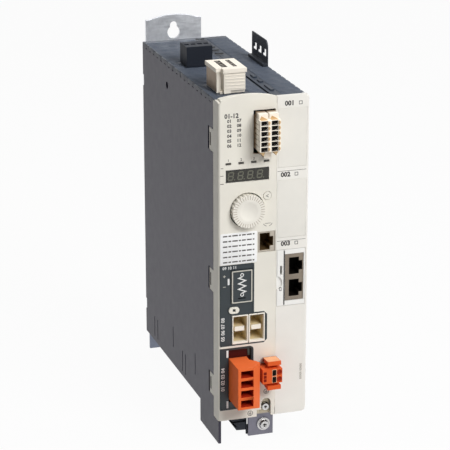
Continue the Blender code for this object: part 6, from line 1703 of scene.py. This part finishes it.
@dataclass
class PowerPanels(Assembly):
    """The dark panels, the resistor cover and the bus sockets."""

    rim: float = 0.85 * MM
    rim_margin: float = 0.15 * MM
    rim_corners: Flat = (0.6 * MM, 0.4 * MM)
    sign_line: float = 0.8 * MM
    sign_swing: float = 2.6 * MM
    sign_turns: int = 6
    sign_margins: Flat = (7.5 * MM, 5.0 * MM)
    sign_rings: Flat = (1.4 * MM, 0.8 * MM)
    sign_ring_step: float = 1.3 * MM
    bars: tuple[Span, ...] = (
        (-26.9 * MM, -25.5 * MM, 105.8 * MM, 110.6 * MM),
        (-27.8 * MM, -26.3 * MM, 49.6 * MM, 55.2 * MM),
        (-27.8 * MM, -26.3 * MM, 9.6 * MM, 15.2 * MM),
    )
    bar_corner: float = 0.3 * MM
    figure: float = 2.7 * MM
    figure_column: float = -30.4 * MM
    upright_figures: tuple[tuple[str, float], ...] = (("01 02 03 04", 32.6 * MM), ("05 06 07 08", 71.8 * MM))
    level_figures: tuple[str, Flat] = ("09 10 11", (-25.4 * MM, 118.6 * MM))
    level_share: float = 0.8
    plus: Flat = (-29.4 * MM, 112.6 * MM)
    minus: Flat = (-29.4 * MM, 104.6 * MM)
    mark_size: Flat = (2.0 * MM, 0.4 * MM)
    bus_step: float = 82.5 * MM
    bus_narrow: float = -7.6 * MM
    corner: float = 2.5 * MM
    edge: float = 0.75 * MM
    edge_lap: float = 0.3 * MM
    edge_share: float = 0.6

    coats: dict[str, Coat] = field(default_factory=lambda: {
        "dc_panel": Coat(PANEL, 0.05 * MM, Shading.EVEN),
        "motor_panel": Coat(PANEL, 0.05 * MM, Shading.EVEN),
        "resistor_cover": Coat(PANEL, 0.1 * MM),
        "resistor_header": Coat(BLACK, 0.2 * MM),
        "cover_catch": Coat(IVORY, 0.1 * MM),
        "dc_socket_left": Coat(BUS_SOCKET, 0.15 * MM),
        "dc_socket_right": Coat(BUS_SOCKET, 0.15 * MM),
        "terminal_board": Coat(MASK, 0.1 * MM),
    })

    def build(self) -> None:
        """Build the cover's rim and sign, the panels' edges and their prints."""
        low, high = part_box("resistor_cover")
        edge = inset((low.x, high.x, low.z, high.z), self.rim_margin)
        rim = Piece("resistor_cover_rim", "resistor_cover", RIM_INK)
        outer, inner = self.rim_corners
        outlines = rounded(edge, outer), rounded(inset(edge, self.rim), inner)
        rim.frame(*outlines, low.y - 2 * PRINT, low.y + SUNK)
        self.keep(rim)
        self.build_sign(low, high)
        self.build_edges()
        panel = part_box("dc_panel")[0].y
        prints = Piece("panel_prints", "drive", WHITE_INK)
        for bar in self.bars:
            prints.printed(rounded(bar, self.bar_corner), panel)
        for text, level in self.upright_figures:
            prints.figures(text, (self.figure_column, level), self.figure, panel, turn=90.0)
        prints.figures(*self.level_figures, self.figure * self.level_share, panel)
        marks = Piece("panel_marks", "drive", RIM_INK)
        for spot in (self.plus, self.minus):
            marks.printed(rectangle(around(spot, *self.mark_size)), panel)
        marks.printed(rectangle(around(self.plus, *self.mark_size[::-1])), panel - PRINT / 2)
        self.keep(prints, marks)

    def bus_outline(self, grow: float) -> list[Flat]:
        """Outline of the upper panel, grown to the right and downwards or shrunk all round.

        Args:
            grow: How far it is grown.

        Returns:
            The outline.
        """
        low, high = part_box("dc_panel")
        shrink = max(0.0, -grow)
        part = grow * self.edge_share
        left, right, base, top = low.x + shrink, high.x + part, low.z - grow, high.z - shrink
        step, narrow, cut = self.bus_step + part, self.bus_narrow + grow, self.corner
        return [
            (left, base), (right - cut, base), (right, base + cut), (right, step - cut), (right - cut, step),
            (narrow, step), (narrow, top), (left, top),
        ]

    def motor_outline(self, grow: float) -> list[Flat]:
        """Outline of the lower panel, grown to the right and downwards or shrunk all round.

        Args:
            grow: How far it is grown.

        Returns:
            The outline.
        """
        low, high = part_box("motor_panel")
        shrink = max(0.0, -grow)
        left, right, base, top = low.x + shrink, high.x + grow, low.z - grow, high.z - shrink
        corner = arc((right - self.corner, top - self.corner), self.corner, 0, 90, steps=6)
        return [(left, base), (right, base), *corner, (left, top)]

    def build_edges(self) -> None:
        """Build the dark edges that close the gaps round both panels."""
        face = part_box("carrier_bezel")[0].y
        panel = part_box("dc_panel")[0].y
        edges = Piece("panel_edges", "drive", PANEL, "slate_moulding")
        for outline in (self.bus_outline, self.motor_outline):
            edges.frame(outline(self.edge), outline(-self.edge_lap), face - PRINT, panel + SUNK)
        self.keep(edges)

    def build_sign(self, low: Vector, high: Vector) -> None:
        """Build the resistor sign on its cover: a zigzag between two rings.

        Args:
            low: Lowest corner of the cover.
            high: Highest corner of the cover.
        """
        middle = (low.x + high.x) / 2
        bottom, top = low.z + self.sign_margins[0], high.z - self.sign_margins[1]
        path = [(middle, top)]
        for turn in range(self.sign_turns):
            side = self.sign_swing if turn % 2 else -self.sign_swing
            path.append((middle + side, top - (top - bottom) * (turn + 0.5) / self.sign_turns))
        path.append((middle, bottom))
        sign = Piece("resistor_sign", "resistor_cover", WHITE_INK)
        sign.printed(stroke(path, self.sign_line), low.y)
        for level in (top + self.sign_ring_step, bottom - self.sign_ring_step):
            rings = [ring((middle, level), radius) for radius in self.sign_rings]
            sign.frame(*rings, low.y - PRINT, low.y + SUNK)
        self.keep(sign)


@dataclass
class MotorPlug(Assembly):
    """The orange motor plug, with dark-red painted shade inside its wire entries."""

    poles: int = 4
    pitch: float = 7.62 * MM
    entry: Span = (-23.6 * MM, -14.2 * MM, 18.3 * MM, 23.72 * MM)
    mouth: float = 0.3 * MM
    depth: float = 13.0 * MM
    lining: float = 0.2 * MM
    clamp_depth: float = 6.5 * MM
    clamp_end: float = 0.8 * MM
    clamp_margin: float = 2.6 * MM
    clamp_drops: Flat = (1.6 * MM, 0.3 * MM)
    wall_proud: float = 0.6 * MM
    wall_soft: float = 0.15 * MM
    recess_wall: Spots = (
        (-11.0 * MM, 49.0 * MM), (-8.95 * MM, 49.0 * MM), (-8.95 * MM, 55.1 * MM), (-13.0 * MM, 55.1 * MM),
        (-13.0 * MM, 54.3 * MM), (-11.0 * MM, 54.3 * MM),
    )

    coats: dict[str, Coat] = field(default_factory=lambda: {
        "motor_plug": Coat(ORANGE, 0.15 * MM),
        "motor_header": Coat(MAROON, 0.15 * MM),
    })

    def build(self) -> None:
        """Build the entries' dark-red linings as painted shade, the wire clamps inside them and the wall of
        the recess above, lighter as painted light.
        """
        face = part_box("motor_plug")[0].y
        left, right, low, high = self.entry
        linings = Piece("motor_entry_linings", "motor_plug", ENTRY_SHADE, "maroon_moulding")
        clamps = Piece("motor_wire_clamps", "motor_plug", ZINC, "zinc_plated_steel")
        for pole in range(self.poles):
            span = (left, right, low + self.pitch * pole, high + self.pitch * pole)
            walls = rectangle(inset(span, -LAP)), rectangle(inset(span, self.lining))
            linings.liner(*walls, face + self.mouth, face + self.depth)
            near, deep = face + self.clamp_depth, face + self.depth - self.clamp_end
            base, top = (span[3] - drop for drop in self.clamp_drops)
            clamps.block((left + self.clamp_margin, near, base), (right - self.clamp_margin, deep, top))
        # The wall's lighter grey is painted light.
        wall = Piece("motor_recess_wall", "drive", RECESS_WALL_LIGHT, "slate_moulding")
        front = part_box("motor_header")[0].y
        wall.prism(self.recess_wall, front - self.wall_proud, front + SUNK, soft=self.wall_soft)
        self.keep(linings, clamps, wall)


@dataclass
class BrakePlug(Assembly):
    """The orange brake plug with its black release buttons."""

    hole_offset: float = 5.3 * MM
    hole_pitch: float = 5.4 * MM
    hole_radius: float = 1.7 * MM
    hole_depths: Flat = (0.6 * MM, 1.3 * MM)
    slot_middle: float = -2.9 * MM
    slot_pitch: float = 2.7 * MM
    slot_size: float = 2.2 * MM
    body: Span = (-4.7 * MM, 10.3 * MM, 31.3 * MM, 42.3 * MM)
    hole_rim: float = 2.1 * MM
    button_offset: float = 1.4 * MM
    button_window: Flat = (2.8 * MM, 4.3 * MM)
    button_line: float = 0.35 * MM
    lever: Flat = (-0.2 * MM, 9.4 * MM)
    lever_top: tuple[Flat, Flat] = ((-207.6 * MM, 47.867 * MM), (-196.4 * MM, 46.949 * MM))

    coats: dict[str, Coat] = field(default_factory=lambda: {
        "brake_plug": Coat(BRAKE_ORANGE, 0.15 * MM),
        "brake_header": Coat(BLACK, 0.2 * MM),
        "brake_release_upper": Coat(PITCH, 0.2 * MM),
        "brake_release_lower": Coat(PITCH, 0.2 * MM),
    })

    def build(self) -> None:
        """Build the painted shade in the plug's entries, the pale lines round its buttons and the pale strip
        on the upper lever, both painted highlight.
        """
        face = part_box("brake_plug")[0].y
        middle = (self.body[0] + self.body[1]) / 2
        level = (self.body[2] + self.body[3]) / 2
        # Dark red bottoms and rims of the holes: painted shade.
        bottoms = Piece("brake_hole_bottoms", "brake_plug", HOLE_SHADE_RED, "maroon_moulding")
        for side in (-0.5, 0.5):
            spot = (middle + self.hole_offset, level + self.hole_pitch * side)
            disc, rim = ring(spot, self.hole_radius), ring(spot, self.hole_rim)
            bottoms.prism(disc, *(face + depth for depth in self.hole_depths))
            bottoms.frame(rim, disc, face - PRINT, face + SUNK)
        # Pale frames round the buttons: painted highlight where the openings' edges catch the light.
        lines = Piece("brake_button_lines", "brake_plug", BUTTON_EDGE_HIGHLIGHT)
        for side in (-0.5, 0.5):
            spot = (middle + self.button_offset, level + self.hole_pitch * side)
            window = around(spot, *self.button_window)
            outer = rectangle(inset(window, -self.button_line))
            lines.frame(outer, rectangle(window), face - PRINT, face + SUNK)
        # Thin pale strip on the upper lever's top: painted highlight.
        pad = Piece("brake_lever_pad", "brake_plug", LEVER_HIGHLIGHT, "orange_moulding")
        (front, front_level), (rear, rear_level) = self.lever_top
        outline = [
            (front, front_level + PRINT), (rear, rear_level + PRINT), (rear, rear_level - SUNK),
            (front, front_level - SUNK),
        ]
        pad.prism(outline, *self.lever, Facing.FLANK)
        # Flat dark red squares: painted shade for the test openings.
        slots = Piece("brake_test_slots", "brake_plug", TEST_SLOT_SHADE)
        for step in (-1, 0, 1):
            spot = around((self.slot_middle, level + self.slot_pitch * step), self.slot_size, self.slot_size)
            slots.printed(rectangle(spot), face)
        self.keep(bottoms, lines, pad, slots)


@dataclass
class RoofPlugs(Assembly):
    """The mains plug and the supply plug on the roof."""

    rows: Flat = (-19.8 * MM, -12.0 * MM)
    first_entry: float = 8.2 * MM
    entry_pitch: float = 4.9 * MM
    entry_size: Flat = (2.6 * MM, 3.6 * MM)
    entry_depths: Flat = (0.5 * MM, 1.1 * MM)
    collars: Spots = ((4.3 * MM, 4.5 * MM), (3.0 * MM, 4.5 * MM))
    side: float = -26.4 * MM
    side_plate: Span = (-167.4 * MM, -144.6 * MM, 242.0 * MM, 256.2 * MM)
    plate_corner: float = 0.5 * MM
    plate_proud: float = 0.12 * MM
    plate_soft: float = 0.05 * MM
    poles: int = 4
    front_left: float = -22.2 * MM
    front_right: float = -6.3 * MM
    front_face: float = -172.0 * MM
    rib_levels: Row = (245.0 * MM, 247.3 * MM, 249.6 * MM, 251.9 * MM, 254.2 * MM)
    rib_margins: Flat = (0.8 * MM, 0.6 * MM)
    rib_proud: float = 0.14 * MM
    rib_half: float = 0.4 * MM
    side_ribs: Row = (-163.0 * MM, -157.5 * MM, -152.0 * MM, -146.5 * MM)
    side_rib_levels: Flat = (242.3 * MM, 255.8 * MM)
    side_rib_proud: float = 0.25 * MM
    side_rib_half: float = 0.6 * MM

    coats: dict[str, Coat] = field(default_factory=lambda: {
        "mains_plug": Coat(MAINS_BLACK, 0.15 * MM),
        "mains_header": Coat(BLACK, 0.2 * MM),
        "supply_plug": Coat(CREAM, 0.15 * MM),
        "supply_header": Coat(BLACK, 0.2 * MM),
    })

    def build(self) -> None:
        """Build the supply plug's dark entries as painted shade, its front ribs and the ribbed plate on its
        left side, darker cream as painted shade.
        """
        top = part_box("supply_plug")[1].z
        # Dark bottoms and collars: painted shade in the supply plug's wire entries.
        entries = Piece("supply_entry_bottoms", "supply_plug", PITCH)
        for across, size in zip(self.rows, self.collars):
            for pole in range(self.poles):
                along = self.front_face + self.first_entry + self.entry_pitch * pole
                span = around((across, along), *self.entry_size)
                levels = (top - depth for depth in self.entry_depths)
                entries.prism(rectangle(inset(span, -LAP)), *levels, Facing.ROOF)
                collar = around((across, along), *size)
                entries.frame(rectangle(collar), rectangle(span), top + PRINT, top - SUNK, Facing.ROOF)
        ribs = Piece("supply_ribs", "supply_plug", CREAM, "cream_moulding")
        left, right = self.front_left + self.rib_margins[0], self.front_right - self.rib_margins[1]
        for level in self.rib_levels:
            low = (left, self.front_face - self.rib_proud, level - self.rib_half)
            ribs.block(low, (right, self.front_face + SUNK, level + self.rib_half))
        # The ribs are real; the plate's darker cream is painted shade on the plug's left side.
        plate = Piece("supply_side_plate", "supply_plug", SIDE_SHADE_CREAM, "cream_moulding")
        outline, hidden = rounded(self.side_plate, self.plate_corner), self.side + SUNK
        plate.prism(outline, self.side - self.plate_proud, hidden, Facing.FLANK, soft=self.plate_soft)
        base, crest = self.side_rib_levels
        for along in self.side_ribs:
            low = (self.side - self.side_rib_proud, along - self.side_rib_half, base)
            plate.block(low, (hidden, along + self.side_rib_half, crest))
        self.keep(entries, ribs, plate)


@dataclass
class Steelwork(Assembly):
    """The back plate, the earth plate and their screws."""

    upper_screw: Flat = (2.8 * MM, 6.4 * MM)
    lower_screw: Flat = (3.9 * MM, -10.6 * MM)
    recess: float = 1.1 * MM
    slot_width: float = 0.7 * MM
    slot_reach: float = 0.42
    slot_proud: Flat = (0.1 * MM, 0.12 * MM)
    washer: Flat = (7.2 * MM, 11.2 * MM)
    washer_hole: float = 3.45 * MM
    washer_behind: float = 2.9 * MM
    washer_thickness: float = 0.8 * MM

    coats: dict[str, Coat] = field(default_factory=lambda: {
        "back_plate": Coat(BACK_STEEL, 0.2 * MM),
        "plate_screw_lower": Coat(SCREW_STEEL, 0.15 * MM),
        "plate_screw_upper": Coat(SCREW_STEEL, 0.15 * MM),
        "earth_plate": Coat(EARTH_STEEL, 0.2 * MM),
        "earth_screw_upper": Coat(SCREW_STEEL, 0.15 * MM),
        "earth_screw_lower": Coat(SCREW_STEEL, 0.15 * MM),
    })

    def build(self) -> None:
        """Build the dark crosses that stand in for the earth screws' slots as painted shade, and the clamp
        washer of the upper one.
        """
        # Dark crosses in the screw heads: painted shade for their slots.
        slots = Piece("earth_screw_slots", "drive", PITCH)
        for which, centre in (("upper", self.upper_screw), ("lower", self.lower_screw)):
            low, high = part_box("earth_screw_" + which)
            size = ((high.x - low.x) * self.slot_reach, self.slot_width)
            bottom = low.y + self.recess
            for proud, sides in zip(self.slot_proud, (size, size[::-1])):
                slots.prism(rectangle(around(centre, *sides)), bottom - proud, bottom + SUNK)
        washer = Piece("earth_clamp_washer", "drive", WASHER_STEEL, "zinc_plated_steel")
        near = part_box("earth_screw_upper")[0].y + self.washer_behind
        plate = holed(around(self.upper_screw, *self.washer), self.washer_hole)
        washer.frame(*plate, near, near + self.washer_thickness)
        self.keep(slots, washer)


@dataclass
class PowerPart(Assembly):
    """What the housing hides: heat sink, fan, boards and power parts."""

    coats: dict[str, Coat] = field(default_factory=lambda: {
        "heat_sink": Coat(ALUMINIUM, 0.15 * MM),
        "power_module": Coat(BLACK, 0.3 * MM),
        "rectifier": Coat(BLACK, 0.3 * MM),
        "power_board": Coat(MASK, 0.1 * MM),
        "bus_capacitor_1": Coat(SLEEVE, 0.4 * MM),
        "bus_capacitor_2": Coat(SLEEVE, 0.4 * MM),
        "control_ribbon": Coat(FLAT_CABLE, 0.02 * MM, Shading.EVEN),
        "fan_frame": Coat(BLACK, 0.2 * MM),
        "fan_rotor": Coat(BLACK, 0.15 * MM),
    })


@dataclass(frozen=True)
class Lamp:
    """A square soft box that looks at the drive."""

    name: str
    place: Point
    size: float
    power: float


@dataclass
class Studio:
    """Floor, world, lamps and camera."""

    aim: Point = (0.0, -0.1, 0.11)
    floor_reach: float = 9.0
    floor_cells: int = 8
    floor_gap: float = 0.3 * MM
    floor_colour: Colour = (0.64, 0.64, 0.64)
    floor_roughness: float = 0.9
    ambient: float = 0.075
    shown_white: float = 0.955
    camera_target: Point = (0.000685, -0.108047, 0.093297)
    camera_azimuth: float = -18.026
    camera_elevation: float = 19.58
    camera_distance: float = 1.546868
    lens: float = 162.412
    sensor: float = 36.0
    clip: Flat = (0.05, 40.0)
    shift: Flat = (-0.00407, 0.0761)
    lamps: tuple[Lamp, ...] = (
        Lamp("key_lamp", (0.62, -1.45, 1.3), 0.9, 28.0),
        Lamp("top_lamp", (0.1, -0.2, 1.7), 1.0, 12.0),
    )

    def build(self) -> None:
        """Build everything around the drive."""
        self.build_world()
        self.build_floor()
        self.build_lamps()
        self.build_camera()

    def build_world(self) -> None:
        """A world that is white to the eye and to gloss, and dim to everything else."""
        world = bpy.data.worlds.new("studio")
        world.use_nodes = True
        tree = world.node_tree
        dim = tree.nodes["Background"]
        dim.inputs["Color"].default_value = (1, 1, 1, 1)
        dim.inputs["Strength"].default_value = self.ambient
        white = tree.nodes.new("ShaderNodeBackground")
        white.inputs["Color"].default_value = (1, 1, 1, 1)
        white.inputs["Strength"].default_value = 1.0
        mix = tree.nodes.new("ShaderNodeMixShader")
        tree.links.new(self.seen(tree), mix.inputs["Fac"])
        tree.links.new(dim.outputs["Background"], mix.inputs[1])
        tree.links.new(white.outputs["Background"], mix.inputs[2])
        tree.links.new(mix.outputs["Shader"], tree.nodes["World Output"].inputs["Surface"])
        bpy.context.scene.world = world

    def seen(self, tree: bpy.types.NodeTree) -> Socket:
        """A factor of 1 for rays from the camera, through glass or off gloss.

        Args:
            tree: The node tree to add it to.

        Returns:
            The factor's socket.
        """
        path = tree.nodes.new("ShaderNodeLightPath")
        factor = path.outputs["Is Camera Ray"]
        for ray in ("Is Glossy Ray", "Is Transmission Ray"):
            higher = tree.nodes.new("ShaderNodeMath")
            higher.operation = "MAXIMUM"
            tree.links.new(factor, higher.inputs[0])
            tree.links.new(path.outputs[ray], higher.inputs[1])
            factor = higher.outputs["Value"]
        return factor

    def build_floor(self) -> None:
        """A plain floor that is nearly white to the eye and keeps the drive's shadow."""
        shape = bmesh.new()
        cells = self.floor_cells
        bmesh.ops.create_grid(shape, x_segments=cells, y_segments=cells, size=self.floor_reach)
        mesh = bpy.data.meshes.new("floor")
        shape.to_mesh(mesh)
        shape.free()
        material = bpy.data.materials.new("floor_paper")
        material.use_nodes = True
        tree = material.node_tree
        paper = tree.nodes["Principled BSDF"]
        paper.inputs["Base Color"].default_value = (*self.floor_colour, 1)
        paper.inputs["Roughness"].default_value = self.floor_roughness
        glow = tree.nodes.new("ShaderNodeEmission")
        share = tree.nodes.new("ShaderNodeMath")
        share.operation = "MULTIPLY"
        share.inputs[1].default_value = self.shown_white
        mix = tree.nodes.new("ShaderNodeMixShader")
        tree.links.new(self.seen(tree), share.inputs[0])
        tree.links.new(share.outputs["Value"], mix.inputs["Fac"])
        tree.links.new(paper.outputs["BSDF"], mix.inputs[1])
        tree.links.new(glow.outputs["Emission"], mix.inputs[2])
        tree.links.new(mix.outputs["Shader"], tree.nodes["Material Output"].inputs["Surface"])
        mesh.materials.append(material)
        floor = bpy.data.objects.new("floor", mesh)
        floor.location.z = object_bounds()[0].z - self.floor_gap
        bpy.context.scene.collection.objects.link(floor)
        floor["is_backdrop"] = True

    def build_lamps(self) -> None:
        """Soft boxes about the drive."""
        for lamp in self.lamps:
            data = bpy.data.lights.new(lamp.name, "AREA")
            data.shape = "SQUARE"
            data.size = lamp.size
            data.energy = lamp.power
            made = bpy.data.objects.new(lamp.name, data)
            made.location = lamp.place
            made.rotation_mode = "QUATERNION"
            made.rotation_quaternion = (Vector(self.aim) - Vector(lamp.place)).to_track_quat("-Z", "Y")
            bpy.context.scene.collection.objects.link(made)

    def build_camera(self) -> None:
        """A camera that looks down on the drive from the front and a little from its left."""
        azimuth, elevation = math.radians(self.camera_azimuth), math.radians(self.camera_elevation)
        back = Vector((
            math.sin(azimuth) * math.cos(elevation),
            -math.cos(azimuth) * math.cos(elevation),
            math.sin(elevation),
        ))
        data = bpy.data.cameras.new("camera")
        data.sensor_width = self.sensor
        data.lens = self.lens
        data.shift_x, data.shift_y = self.shift
        data.clip_start, data.clip_end = self.clip
        made = bpy.data.objects.new("camera", data)
        made.location = Vector(self.camera_target) + back * self.camera_distance
        made.rotation_mode = "QUATERNION"
        made.rotation_quaternion = (-back).to_track_quat("-Z", "Y")
        bpy.context.scene.collection.objects.link(made)
        bpy.context.scene.camera = made


def main() -> None:
    """Load the frame, dress it, add the trim, report every piece and set up the studio."""
    logging.basicConfig(level=logging.INFO, format="%(name)s: %(message)s")
    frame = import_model()
    assemblies = (
        Housing, Front, OperatorField, SignalPlug, DataSockets, PowerPanels, MotorPlug, BrakePlug,
        RoofPlugs, Steelwork, PowerPart,
    )
    bare = set(frame["nodes"])
    for kind in assemblies:
        assembly = kind(frame["nodes"])
        assembly.dress()
        assembly.build()
        for name, coat in assembly.coats.items():
            LOG.info("node %s in %s", name, coat.finish.name)
        for piece in assembly.trim:
            LOG.info("piece %s, %d faces", piece.name, len(piece.data.polygons))
        bare -= set(assembly.coats)
    for name in sorted(bare):
        LOG.warning("node %s has no finish", name)
    Studio().build()
    bpy.context.scene.view_settings.view_transform = "Standard"


if __name__ == "__main__":
    main()
